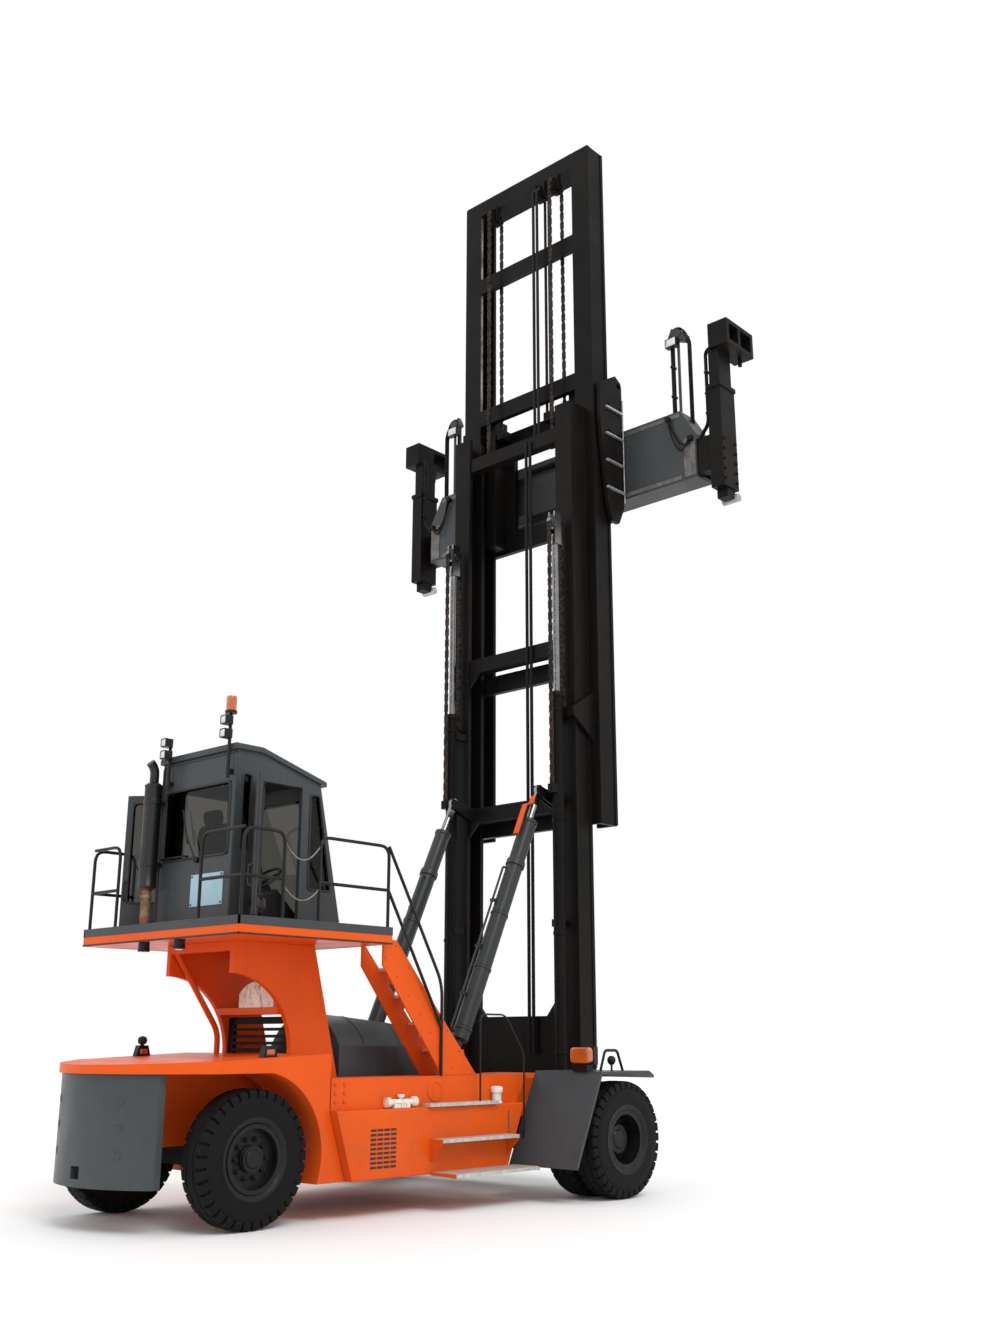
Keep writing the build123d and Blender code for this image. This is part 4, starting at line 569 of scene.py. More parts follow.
for side, sign in (("left", 1), ("right", -1)):
    twin = [middle_of("tyres_front_" + side) + [0, sign * step, 0] for step in (-TWIN_STEP, TWIN_STEP)]
    pair = joined(*[tyre_shape(centre) for centre in twin])
    front = piece("tyre_pair_" + side, "wheel_front_" + side, TYRE, pair)
    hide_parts("tyres_front_" + side)
    single = tyre_shape(middle_of("tyre_rear_" + side))
    rear = piece("tyre_back_" + side, "wheel_rear_" + side, TYRE, single)
    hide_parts("tyre_rear_" + side)

# %% [markdown]
# ## Wheel nuts, hub caps and lock rings
# One nut is a six-sided lathe shape. Ten copies stand on a circle, and a domed cap closes the hub.

# %% Wheel furniture
NUTS = 10
NUT = [(0.026, 0), (0.026, 0.008), (0.021, 0.009), (0.021, 0.034), (0.017, 0.038)]
STUD = [(0.011, 0.03), (0.011, 0.055), (0.009, 0.058)]
CAP_STEPS = np.array([(1, 0), (1, 0.35), (0.93, 0.45), (0.72, 0.5), (0.70, 0.85), (0.6, 1), (0.2, 1.04)])
LOCK_RING = [(0.272, -0.050), (0.296, -0.023), (0.312, -0.006), (0.338, 0.010), (0.350, 0.0155),
             (0.361, 0.0155), (0.366, 0.010), (0.364, 0.004)]
WHEELS = (
    # end, centre, then nut face, lock ring face, nut circle, cap radius and cap height in metres
    ("front", mm(0, 0, 1000 * TYRE_R), 1.915, 2.126, 0.205, 0.156, 0.112),
    ("rear", mm(-4350, 0, 1000 * TYRE_R), 1.080, 1.166, 0.175, 0.120, 0.078),
)


def wheel_set(centre, sign, face, ring_face, nut_circle, cap_r, cap_h):
    """Nuts on the disc, a stepped cap over the hub and a lock ring at the tyre's bead, facing outward."""
    axis = np.array([0, sign, 0])
    turn = 2 * np.pi * np.arange(NUTS) / NUTS
    spots = np.stack([nut_circle * np.cos(turn), np.full(NUTS, sign * face), nut_circle * np.sin(turn)], -1)
    nut = joined(lathe(NUT, (0, 0, 0), axis, 6), lathe(STUD, (0, 0, 0), axis, 8))
    cap = lathe(CAP_STEPS * [cap_r, cap_h], centre + axis * face, axis, 36)
    ring = lathe(LOCK_RING, centre + axis * ring_face, axis, 64, False)
    return joined(copies(nut, spots + centre), cap, ring)


for side, sign in (("left", 1), ("right", -1)):
    for end, centre, *sizes in WHEELS:
        shape = wheel_set(centre, sign, *sizes)
        piece("wheel_nuts_" + end + "_" + side, "wheel_" + end + "_" + side, RIM, shape)

# %% [markdown]
# ## Leaf chains
# A leaf chain is rows of waisted plates on pins: four plates, then three between them, and so on. One plate
# is a twelve-sided prism. Straight runs copy it up a line, and the turn over a sheave copies it round an arc.

# %% Chain links
LINK_PITCH = 0.076
PLATE_ROWS = np.array([-0.0245, -0.0082, 0.0082, 0.0245]), np.array([-0.0163, 0.0, 0.0163])


def chain_plate():
    """Waisted plate, 7 mm thick: half height 13 mm at the pins and 11.5 mm between them."""
    s = np.array([-0.052, -0.046, -0.03, 0.03, 0.046, 0.052])
    half = np.array([0.005, 0.013, 0.0115, 0.0115, 0.013, 0.005])
    ring = np.concatenate([np.stack([half, 0 * s, s], -1), np.stack([-half, 0 * s, s], -1)[::-1]])
    return prism(ring - [0, 0.0035, 0], (0, 0.007, 0))


def links(middles, frames):
    """Plate rows and pins at the middles of the links, each link turned by its frame."""
    parts = []
    for k in (0, 1):
        spots, turns = middles[k::2], frames[k::2]
        for y in PLATE_ROWS[k]:
            parts.append(copies(chain_plate(), spots + np.einsum("nij,j->ni", turns, [0, y, 0]), turns))
    pin = lathe([(0.009, -0.033), (0.009, 0.033)], (0, 0, 0), (0, 1, 0), 8)
    ends = middles + np.einsum("nij,j->ni", frames, [0, 0, LINK_PITCH / 2])
    return joined(*parts, copies(pin, ends))


def chain_run(x, y, z0, z1):
    """Straight upright run: links spread evenly between two heights."""
    count = int((z1 - z0) / LINK_PITCH)
    z = z0 + (np.arange(count) + 0.5) * (z1 - z0) / count
    middles = np.stack([np.full(count, x), np.full(count, y), z], -1)
    return links(middles, np.broadcast_to(np.eye(3), (count, 3, 3)))


def chain_turn(x, y, z, radius, count):
    """Links round the upper half of a sheave: (x - r cos t, y, z + r sin t) for t from 0 to pi."""
    t = np.pi * (np.arange(count) + 0.5) / count
    middles = np.stack([x - radius * np.cos(t), np.full(count, y), z + radius * np.sin(t)], -1)
    out = np.stack([-np.cos(t), 0 * t, np.sin(t)], -1)
    along = np.stack([np.sin(t), 0 * t, np.cos(t)], -1)
    return links(middles, np.stack([out, np.broadcast_to([0.0, 1.0, 0.0], out.shape), along], -1))


print("chain builders")

# %% [markdown]
# Each run is baked in place and rides on no body. Two hoses run beside each carriage chain in the same way,
# and the turns ride on what carries their wheels.

# %% Chain runs and turns
CHAIN_RUNS = (
    # CAD node, x, y and both heights in machine millimetres, then two bodies and two heights at its ends
    ("lift_chains_rear", 220, 930, 4750, 8236, "mast_outer", "mast_inner", 4750, 11770),
    ("lift_chains_front", 460, 930, 5760, 8236, "mast_outer", "mast_inner", 10760, 5760),
    ("carriage_chains_up", 710, 600, 9680, 13860, "mast_outer", "mast_inner", 9680, 13860),
    ("carriage_chains_down", 990, 600, 10340, 13860, "mast_inner", "carriage", 13860, 10340),
)
HOSE_X = {"carriage_chains_up": 712, "carriage_chains_down": 988}
for node, x, y, z0, z1, first, last, start, end in CHAIN_RUNS:
    base, top = mm(x, y, z0), mm(x, y, z1)
    shape = both(chain_run(base[0], base[1], base[2], top[2]))
    run = piece(node + "_links", None, CHAIN, shape, 30)
    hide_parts(node)
    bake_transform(run)
    if node in HOSE_X:
        ends = [(mm(HOSE_X[node], hose_y, z0), mm(HOSE_X[node], hose_y, z1)) for hose_y in (-350, -280)]
        lines = [tube(np.linspace(low, high, 24), 0.022) for low, high in ends]
        hose = piece(node + "_hoses", None, HOSE, joined(*lines))
        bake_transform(hose)
sheave = mm(340, 930, 8260)
piece("lift_chain_turns", "lift_rods", CHAIN, both(chain_turn(*sheave, 0.121, 5)), 30)
top_wheel = mm(850, 600, 13860)
piece("carriage_chain_turns", "mast_inner", CHAIN, both(chain_turn(*top_wheel, 0.141, 6)), 30)

# %% [markdown]
# ## Railings
# Real railings are bent from one tube: up, round, along, round and down. The path is a few corners turned
# on a radius, and the tube follows it. Two slack chains close each gap in front of a door; a slack
# chain hangs in a parabola.

# %% Railings
DECK_Z, RAIL_Z, RAIL_MID_Z, RAIL_Y = 2660, 3600, 3149, 1278
RAIL_R, RAIL_BEND, HAND_BEND = 0.017, 0.12, 0.15
RAIL_X = {"rear": -4740, "gap rear": -4250, "gap front": -3800, "front": -2870}
REAR_ENDS = (-620, 800)
rails = []
for x0, x1 in ((RAIL_X["gap rear"], RAIL_X["rear"]), (RAIL_X["gap front"], RAIL_X["front"])):
    corners = [mm(x, RAIL_Y, z) for x, z in ((x0, DECK_Z), (x0, RAIL_Z), (x1, RAIL_Z), (x1, DECK_Z))]
    rails.append(both(tube(bent(corners, RAIL_BEND), RAIL_R)))
    rails.append(both(tube([mm(x0, RAIL_Y, RAIL_MID_Z), mm(x1, RAIL_Y, RAIL_MID_Z)], RAIL_R)))
for end in REAR_ENDS:
    side_y = math.copysign(RAIL_Y, end)
    corners = [mm(RAIL_X["rear"], y, z) for y, z in ((side_y, RAIL_Z), (end, RAIL_Z), (end, DECK_Z))]
    rails.append(tube(bent(corners, RAIL_BEND), RAIL_R))
    rails.append(tube([mm(RAIL_X["rear"], y, RAIL_MID_Z) for y in (side_y, end)], RAIL_R))
hand = [mm(RAIL_X["front"], -RAIL_Y, RAIL_Z), mm(-1980, -1200, 2240), mm(-1980, -1200, 1300)]
rails.append(tube(bent(hand, HAND_BEND), RAIL_R))
rails.append(tube([mm(RAIL_X["front"], -RAIL_Y, RAIL_MID_Z), mm(-1980, -1200, 1789)], RAIL_R))
feet = [mm(x, y, DECK_Z + 55) for x in RAIL_X.values() for y in (-RAIL_Y, RAIL_Y)]
feet += [mm(RAIL_X["rear"], y, DECK_Z + 55) for y in REAR_ENDS]
foot = slab((-0.030, -0.024, -0.055), (0.030, 0.024, 0.055))
railing = piece("railing_tubes", "chassis", RAIL_BLACK, joined(*rails, copies(foot, feet)))
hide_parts("railings")
s = np.linspace(0, 1, 25)[:, None]
slack = []
for height, sag in ((RAIL_Z - 90, 0.16), (RAIL_MID_Z - 60, 0.13)):
    line = mm(RAIL_X["gap rear"], RAIL_Y, height) * (1 - s) + mm(RAIL_X["gap front"], RAIL_Y, height) * s
    line[:, 2] -= 4 * sag * (s * (1 - s))[:, 0]
    slack.append(both(tube(line, 0.007, 6)))
piece("gap_chains", "chassis", ZINC, joined(*slack))

# %% [markdown]
# ## Loops, pads and cushions
# Three more builders: a tube round a closed outline for window seals, a bulged patch for lamp lenses, and a
# rounded box for anything stuffed or moulded. Bolt heads are copies of one turned shape.

# %% Loop, pad, cushion and bolt builders
def hoop(corners, turn, radius, sides=8):
    """Tube round a closed outline whose corners are turned on parabolas."""
    c = np.asarray(corners, float)
    s = np.linspace(0, 1, 5)[:, None]
    p = c + turn * unit(np.roll(c, 1, 0) - c)
    q = c + turn * unit(np.roll(c, -1, 0) - c)
    path = (1 - s) ** 2 * p[:, None] + 2 * s * (1 - s) * c[:, None] + s ** 2 * q[:, None]
    path = path.reshape(-1, 3)
    along = unit(np.roll(path, -1, 0) - np.roll(path, 1, 0))
    flat = np.linalg.svd(path - path.mean(0))[2][-1]
    t = around(sides)
    ring = np.cos(t) * unit(np.cross(along, flat))[:, None] + np.sin(t) * flat
    return skin(path[:, None] + radius * ring, close_u=True, close_v=True)


def pad(centre, across, up, bulge):
    """p(u, v) = c + u a + v b + h (1 - u^4)(1 - v^4) n, a patch whose middle stands proud."""
    across, up = np.asarray(across, float), np.asarray(up, float)
    u, v = np.meshgrid(np.linspace(-1, 1, 11), np.linspace(-1, 1, 11), indexing="ij")
    lift = bulge * (1 - u ** 4) * (1 - v ** 4)
    out = unit(np.cross(across, up))
    return skin(np.asarray(centre) + u[..., None] * across + v[..., None] * up + lift[..., None] * out)


def cushion(centre, half, power=0.35, lean=0.0, seams=(), depth=0.012, width=0.009):
    """x = a c(u) c(v), y = b c(u) s(v), z = h s(u), each sine raised to a power to square the box off; a seam
    presses the surface in by depth exp(-(d / width)^2) at distance d from its line. The box leans about Y."""
    u = np.linspace(-np.pi / 2, np.pi / 2, 41)[:, None]
    v = np.linspace(-np.pi, np.pi, 80, endpoint=False)[None, :]

    def squared(w):
        return np.sign(w) * np.abs(w) ** power

    x, y = squared(np.cos(u)) * squared(np.cos(v)), squared(np.cos(u)) * squared(np.sin(v))
    z = np.broadcast_to(squared(np.sin(u)), x.shape)
    grid = np.stack([x, y, z], -1) * half
    press = sum((np.exp(-((grid[..., axis] - at) / width) ** 2) for axis, at in seams), np.zeros(x.shape))
    grid = grid * (1 - depth * press / max(min(half), 0.05))[..., None]
    turn = np.array([[math.cos(lean), 0, math.sin(lean)], [0, 1, 0], [-math.sin(lean), 0, math.cos(lean)]])
    return skin(grid @ turn.T + np.asarray(centre), close_v=True)


def bolts(places, axis, radius):
    """Domed hexagon heads at the places, all facing along one axis."""
    profile = [(1.25, 0), (1.25, 0.12), (1.0, 0.14), (1.0, 0.7), (0.8, 0.85)]
    return copies(lathe(np.array(profile) * radius, (0, 0, 0), axis, 6), places)


print("loop, pad, cushion and bolt builders")

# %% [markdown]
# ## Seat
# The seat is stuffed, so it has no flat faces: crowned cushions with pressed seams.

# %% Seat
BACK_LEAN = math.radians(-8.7)
SEAMS = ((1, -0.13), (1, 0.13))
back = cushion(mm(-4108, 0, 3450), (0.075, 0.245, 0.375), 0.42, BACK_LEAN, SEAMS + ((2, 0.16),))
rests = [cushion(mm(-3950, y, 3275), (0.17, 0.035, 0.028), 0.5) for y in (-300, 300)]
SEAT_PADS = (
    # name, how full, shape
    ("seat_cushion", 0.8, cushion(mm(-3860, 0, 3025), (0.265, 0.262, 0.075), 0.4, 0.0, SEAMS)),
    ("seat_back", 0.8, back),
    ("seat_headrest", 0.85, cushion(mm(-4178, 0, 3885), (0.05, 0.13, 0.075), 0.5, BACK_LEAN)),
    ("seat_arms", 0.9, joined(*rests)),
)
for name, fill, shape in SEAT_PADS:
    piece(name, "chassis", CLOTH, shape, 180)

# %% [markdown]
# ## Controls
# The steering wheel is a circle carried round a circle, on a leaning column. The desk, the seat's base, the
# lever and the screen are moulded in one plastic, so they share one piece.

# %% Controls
HUB, LEAN, ACROSS = mm(-3470, 0, 3300), unit(np.array([-0.643, 0, 0.766])), np.array([0, 1, 0])
WHEEL_R, WHEEL_GRIP_R, SPOKE_UP = 0.190, 0.015, 0.012
ring = 2 * np.pi * np.arange(11) / 10
rim = np.stack([WHEEL_R + WHEEL_GRIP_R * np.cos(ring), 0.013 + WHEEL_GRIP_R * np.sin(ring)], -1)
wheel = [lathe(rim, HUB, LEAN, 40, False), lathe([(0.05, -0.01), (0.05, 0.018), (0.03, 0.03)], HUB, LEAN, 20)]
for c, s in ((1.0, 0.0), (-0.5, 0.866), (-0.5, -0.866)):
    foot = HUB + SPOKE_UP * LEAN
    tip = foot + 0.185 * (c * np.cross(LEAN, ACROSS) + s * ACROSS)
    wheel.append(tube(np.linspace(foot, tip, 4), 0.011, 8))
wheel.append(tube(np.linspace(mm(-3380, 0, 3150), HUB, 4), 0.024))
DESK = ((-3330, 2660), (-3120, 2660), (-3150, 2950), (-3420, 3200), (-3450, 3150))
SCREEN = ((-3300, 3120), (-3285, 3130), (-3345, 3330), (-3360, 3320))
LEVER = [(0.03, 0), (0.012, 0.03), (0.010, 0.13), (0.024, 0.15), (0.026, 0.18), (0.012, 0.2)]
moulded = [prism([mm(x, -140, z) for x, z in DESK], (0, 0.28, 0)),
           prism([mm(x, 160, z) for x, z in SCREEN], (0, 0.22, 0)),
           cushion(mm(-3860, 0, 2700), (0.20, 0.21, 0.045), 0.25),
           cushion(mm(-3860, 0, 2840), (0.15, 0.16, 0.12), 0.3),
           slab(mm(-4090, -235, 2930), mm(-3630, 235, 2965)),
           lathe(LEVER, mm(-3800, -300, 3300), (0, 0, 1), 14),
           slab(mm(-4030, -335, 3020), mm(-3780, -270, 3250))]
inside = piece("cab_controls", "chassis", PLASTIC, joined(*wheel, *moulded))
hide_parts("cab_interior")

# %% [markdown]
# ## Window seals
# Each window sits in a rubber seal, a tube round the opening. The windscreen leans, so its corners take
# their place along the machine from their height.

# %% Window seals
REAR_WALL_X, SIDE_Y = -4390, 640


def rake(z):
    """Place of the leaning windscreen along the machine: a straight line in the height."""
    return -2960 - 330 * (z - 2820) / 1452


def rect(a0, b0, a1, b1):
    """Four corners of a rectangle, in order round it."""
    return (a0, b0), (a1, b0), (a1, b1), (a0, b1)


SIDE_PANES = rect(-4310, 3500, -4200, 4250), ((-3420, 3160), (-3110, 3160), (-3300, 4150), (-3420, 4150))
seals = [hoop([mm(REAR_WALL_X - 2, y, z) for y, z in rect(-555, 3445, 555, 4175)], 0.07, 0.013),
         hoop([mm(rake(z) + 2, y, z) for y, z in rect(-535, 2965, 535, 4135)], 0.07, 0.013)]
seals += [both(hoop([mm(x, SIDE_Y + 2, z) for x, z in pane], 0.03, 0.011)) for pane in SIDE_PANES]
piece("window_seals", "chassis", SEAL, joined(*seals))

# %% [markdown]
# ## Rear wall of the cab
# A bead runs round the wall and a gutter round the roof. A blank sheet, a handle and a wiper finish the wall.

# %% Rear wall
beading = [hoop([mm(REAR_WALL_X - 4, y, z) for y, z in rect(-625, 2790, 625, 4470)], 0.05, 0.012),
           hoop([mm(x, y, 4500) for x, y in rect(-4418, -668, -4080, 668)], 0.02, 0.009)]
piece("cab_beading", "chassis", CHARCOAL, joined(*beading))
blank = slab(mm(REAR_WALL_X - 8, -510, 2950), mm(REAR_WALL_X + 1, 20, 3270))
piece("rear_panel", "chassis", PALE_BLUE, blank)
rivets = [mm(REAR_WALL_X - 8, y, z) for y in (-490, 0) for z in (2970, 3250)]
handle = [mm(REAR_WALL_X + out, y, 3470) for out, y in ((0, 110), (-45, 110), (-45, 530), (0, 530))]
wiper = [tube(np.linspace(mm(REAR_WALL_X - 30, -60, 3420), mm(REAR_WALL_X - 38, 150, 3760), 5), 0.007),
         tube(np.linspace(mm(REAR_WALL_X - 22, 100, 3600), mm(REAR_WALL_X - 22, 210, 3960), 6), 0.009),
         lathe([(0.03, 0), (0.03, 0.03), (0.012, 0.04)], mm(REAR_WALL_X + 1, -60, 3420), (-1, 0, 0), 14)]
fittings = joined(tube(bent(handle, 0.03), 0.011), *wiper, bolts(rivets, (-1, 0, 0), 0.009))
piece("cab_fittings", "chassis", RAIL_BLACK, fittings)

# %% [markdown]
# ## Door trim
# The doors stand open. Their pieces are drawn on the shut left door and then turned about the hinge,
# exactly as the door itself was; the right door is the mirror of it.

# %% Door trim
HINGE, SWING = mm(-4130, 656, 0), math.radians(130)
DOOR_PANE, DOOR_EDGE = rect(-4054, 3055, -3604, 4125), rect(-4117, 2808, -3541, 4202)
grip = [mm(-3575, SIDE_Y + out, z) for out, z in ((0, 3080), (45, 3080), (45, 3280), (0, 3280))]
pull = [mm(x, SIDE_Y - deep, 3000) for x, deep in ((-3600, 45), (-3600, 85), (-3980, 85), (-3980, 45))]
trim = [hoop([mm(x, SIDE_Y + out, z) for x, z in DOOR_PANE], 0.06, 0.011) for out in (2, -47)]
trim += [hoop([mm(x, SIDE_Y - 22, z) for x, z in DOOR_EDGE], 0.03, 0.009),
         tube(bent(grip, 0.025), 0.009), tube(bent(pull, 0.03), 0.011),
         slab(mm(-3612, SIDE_Y - 72, 2880), mm(-3545, SIDE_Y - 44, 2960))]
points, faces = joined(*trim)
c, s = math.cos(SWING), math.sin(SWING)
door_trim = (points - HINGE) @ np.array([[c, s, 0], [-s, c, 0], [0, 0, 1]]) + HINGE, faces
piece("door_trim_left", "door_left", SEAL, door_trim)
piece("door_trim_right", "door_right", SEAL, mirrored(door_trim))

# %% [markdown]
# ## Exhaust
# The muffler is a lathe shape with rolled seams and two bands. The tail pipe turns back at the top.

# %% Exhaust
STACK, LOW, HIGH = mm(-4530, 600, 0), 3.170, 4.260


def band(z):
    """Four (radius, height) pairs of a strap round the muffler, starting at a height."""
    return [(0.090, z), (0.097, z + 0.005), (0.097, z + 0.055), (0.090, z + 0.06)]


muffler = [(0.052, LOW - 0.02), (0.080, LOW), (0.094, LOW + 0.012), (0.094, LOW + 0.03), (0.090, LOW + 0.036)]
muffler += band(LOW + 0.22) + band(HIGH - 0.22)
muffler += [(0.090, HIGH - 0.036), (0.094, HIGH - 0.03), (0.094, HIGH - 0.012), (0.080, HIGH),
            (0.052, HIGH + 0.02)]
riser = [(0.075, 2.661), (0.075, 2.675), (0.050, 2.68), (0.050, 3.06), (0.060, 3.065), (0.060, 3.10),
         (0.050, 3.105), (0.050, LOW)]
tail = bent([STACK + [0, 0, HIGH], STACK + [0, 0, HIGH + 0.17], STACK + [-0.06, 0, HIGH + 0.23]], 0.06)
straps = [slab(STACK + [0, -0.035, z], STACK + [0.14, 0.035, z + 0.04]) for z in (LOW + 0.23, HIGH - 0.21)]
pipes = [lathe(muffler, STACK, (0, 0, 1)), lathe(riser, STACK, (0, 0, 1), 24), tube(tail, 0.048, 20)]
stack = joined(*pipes, *straps)
stack = piece("exhaust_stack", "chassis", BURNT, stack)
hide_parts("exhaust")

# %% [markdown]
# ## Lamps
# The CAD gives the housings. A lens is a bulged patch in a rim, and the lamps under the deck are small
# lathe shapes facing down.

# %% Work lamps
POST_X = -4445
lenses, rims = [], []
for y, z in ((-560, 4600), (-560, 4740), (470, 4520), (470, 4650)):
    face = mm(POST_X - 91, y, z + 45)
    lenses.append(pad(face, (0, -0.038, 0), (0, 0, 0.038), 0.010))
    rims.append(hoop(face + 0.042 * np.array([[0, -1, -1], [0, 1, -1], [0, 1, 1], [0, -1, 1]]), 0.012, 0.006))
SPOT_RIM = [(0.046, 0.004), (0.059, 0.004), (0.060, -0.02), (0.056, -0.03)]
for y in (-300, 300):
    spot = mm(-4710, y, 2510)
    lenses.append(lathe([(0.046, 0), (0.040, 0.008), (0.018, 0.013)], spot, (0, 0, -1), 20))
    rims.append(lathe(SPOT_RIM, spot, (0, 0, -1), 24, False))
piece("lamp_lenses", "chassis", LENS, joined(*lenses))

# %% [markdown]
# The beacon is a lathe dome on a black base. The rear markers and the fender lamps are amber, and each
# fender also carries a small guarded lamp on a post.

# %% Beacon, markers and fender lamps
BEACON = mm(POST_X, -560, 4882)
DOME = [(0.053, 0), (0.053, 0.12), (0.052, 0.145), (0.048, 0.158), (0.03, 0.168), (0.005, 0.170)]
BASE = [(0.060, -0.022), (0.062, -0.015), (0.062, 0.006), (0.054, 0.010)]
LAMP_POST = [(0.012, 0), (0.012, 0.06), (0.030, 0.07), (0.048, 0.10), (0.048, 0.13), (0.03, 0.155),
             (0.01, 0.162)]
BALL = [(0.022, -0.03), (0.020, -0.01), (0.042, 0.0), (0.050, 0.03), (0.042, 0.06), (0.015, 0.075)]
amber = [lathe(DOME, BEACON, (0, 0, 1), 28)]
amber += [both(pad(mm(-4155, y, 1545), (0.045, 0, 0), (0, 0, 0.026), 0.006)) for y in (-1083, 1007)]
amber.append(both(cushion(mm(-500, 1905, 1500), (0.045, 0.135, 0.085), 0.35)))
arch = [mm(x, 1900, z) for x, z in ((-160, 1330), (-70, 1550), (150, 1550), (250, 1330))]
rims += [lathe(BASE, BEACON, (0, 0, 1), 28), both(tube(bent(arch, 0.04), 0.016)),
         both(lathe(LAMP_POST, mm(45, 1900, 1330), (0, 0, 1), 18)),
         both(slab(mm(-455, 1770, 1400), mm(-380, 2040, 1590))),
         lathe(BALL, mm(-4155, 1045, 1625), (0, 0, 1), 18)]
piece("amber_lenses", "chassis", AMBER, joined(*amber))
piece("lamp_rims", "chassis", RAIL_BLACK, joined(*rims))

# %% [markdown]
# ## Slab plugs and dark seams
# The rear slab is bowed, so its plugs face along its radius. Dark seams are thin tubes: one under the rear
# cover, and two over the crowned hood. A vent is one slot copied to a grid.

# %% Slab plugs, seams and vents
BOW_X, BOW_R, PLUG_Y = -5470, 1250, 500
turn = math.asin(PLUG_Y / BOW_R)
plug_x = BOW_X + BOW_R - BOW_R * math.cos(turn)
PLUG = [(0.040, -0.004), (0.040, 0.003), (0.030, 0.004), (0.026, -0.002), (0.010, -0.002)]
facing = (-math.cos(turn), -math.sin(turn), 0)
plugs = [lathe(PLUG, mm(plug_x, -PLUG_Y, z), facing, 20) for z in (1130, 905, 670)]
piece("slab_plugs", "chassis", CHARCOAL, both(*plugs))
SEAM_R, SEAM_Z, VENT_Y = 1.247, 1.358, 1.2985
a = np.linspace(-0.70, 0.70, 41)
seam = np.stack([-SEAM_R * np.cos(a), SEAM_R * np.sin(a), np.full_like(a, SEAM_Z)], -1)
seam = seam + mm(BOW_X + BOW_R, 0, 0)
slot = slab((-0.038, -0.004, -0.011), (0.038, 0.004, 0.011))
grid_x, grid_z = np.meshgrid(-3015 + 90 * np.arange(4), 462 + 43 * np.arange(9), indexing="ij")
vents = np.stack([grid_x / 1000 + SHIFT, np.full(grid_x.shape, VENT_Y), grid_z / 1000], -1).reshape(-1, 3)
dark = [both(copies(slot, vents)), tube(seam, 0.007, 8)]
HOOD_HALF, CROWN = 560, 335
crown_r = (HOOD_HALF ** 2 + CROWN ** 2) / (2 * CROWN)
y = np.linspace(-0.556, 0.556, 33)
top = 1935 - crown_r + np.sqrt(crown_r ** 2 - (1000 * y) ** 2)
for x in (-2480, -1960):
    ridge = np.minimum(top, 1945 - 120 * (x + 2840) / 1040)
    dark.append(tube(np.stack([np.full_like(y, x / 1000 + SHIFT), y, ridge / 1000], -1), 0.007, 8))
piece("dark_seams", "chassis", SEAL, joined(*dark))

# %% [markdown]
# ## Valve, cap, rail and fixings
# Turned fittings are lathe shapes, and the grab rail is one bent tube from the step to the side box.

# %% Valve, cap and rail
VALVE = [(0.030, 0), (0.052, 0.005), (0.052, 0.05), (0.030, 0.06), (0.030, 0.36), (0.050, 0.37),
         (0.050, 0.42), (0.02, 0.43)]
STEM = [(0.036, 0), (0.036, 0.05), (0.024, 0.06), (0.024, 0.10), (0.04, 0.105), (0.04, 0.13)]
valve = [lathe(VALVE, mm(-2800, -1232, 1058), (1, 0, 0), 18),
         lathe(STEM, mm(-2590, -1232, 1002), (0, 0, 1), 14),
         slab(mm(-2700, -1262, 1001), mm(-2480, -1206, 1045))]
piece("hydraulic_valve", "chassis", CREAM, joined(*valve))
CAP = [(0.062, 0), (0.062, 0.02), (0.052, 0.025), (0.052, 0.11), (0.066, 0.115), (0.068, 0.16),
       (0.058, 0.175), (0.02, 0.18)]
piece("filter_cap", "chassis", OFF_WHITE, lathe(CAP, mm(-1160, -1245, 1001), (0, 0, 1), 24))
RAIL_PATH = ((-1490, 1001), (-1490, 1930), (-1090, 1930), (-780, 1520), (-780, 360))
rail = tube(bent([mm(x, -1309, z) for x, z in RAIL_PATH], 0.08), 0.010)
piece("grab_rail", "chassis", RAIL_BLACK, rail)

# %% [markdown]
# A boss, bolt heads and latches fix the boxes, and one thick pipe follows the pedestal.

# %% Fixings and pipe
BOSS = [(0.13, -0.002), (0.12, 0.012), (0.07, 0.02), (0.065, 0.012), (0.02, 0.012)]
heads = [mm(x, -1200, z) for x in (-3440, -3320) for z in (1080, 1160, 1240)]
flights = [np.linspace(mm(-2790, -1180, 2470), mm(-1790, -1180, 1375), 7),
           np.linspace(mm(-2650, -1178, 2600), mm(-1480, -1178, 1330), 7)]
right = (0, -1, 0)
fixings = joined(lathe(BOSS, mm(-2060, -1200, 1165), right, 32), bolts(heads, right, 0.016),
                 bolts(np.concatenate(flights), right, 0.009))
piece("box_fixings", "chassis", ORANGE, fixings)
latch = slab(mm(-1040, -1304, 740), mm(-1015, -1298, 900))
latch = joined(latch, bolts([mm(-1028, -1304, 715), mm(-1028, -1304, 925)], right, 0.01))
piece("box_latches", "chassis", ZINC, both(latch))
route = [mm(x, 455, z) for x, z in ((-4250, 2598), (-4150, 2440), (-3640, 1745), (-3640, 1300))]
piece("pedestal_pipe", "chassis", ORANGE, tube(bent(route, 0.1), 0.030, 14))

# %% [markdown]
# ## Platform edge and stair cheeks
# The kick plates are dark, and a rubber strip runs under the edge of the deck.

# %% Platform edge
DECK = {"rear": -4780, "front": -2830, "side": 1312}
STAIR_EDGE = -837


def rim_band(low, high, out, deep):
    """Four flat bars round the deck between two heights, the front one stopping at the stairs."""
    x0, x1, y = DECK["rear"] - out, DECK["front"] + out, DECK["side"] + out
    bars = [slab(mm(x0, -y, low), mm(x0 + deep, y, high)),
            slab(mm(x1 - deep, STAIR_EDGE, low), mm(x1, y, high))]
    bars += [slab(mm(x0, sign * (y - deep), low), mm(x1, sign * y, high)) for sign in (-1, 1)]
    return joined(*bars)


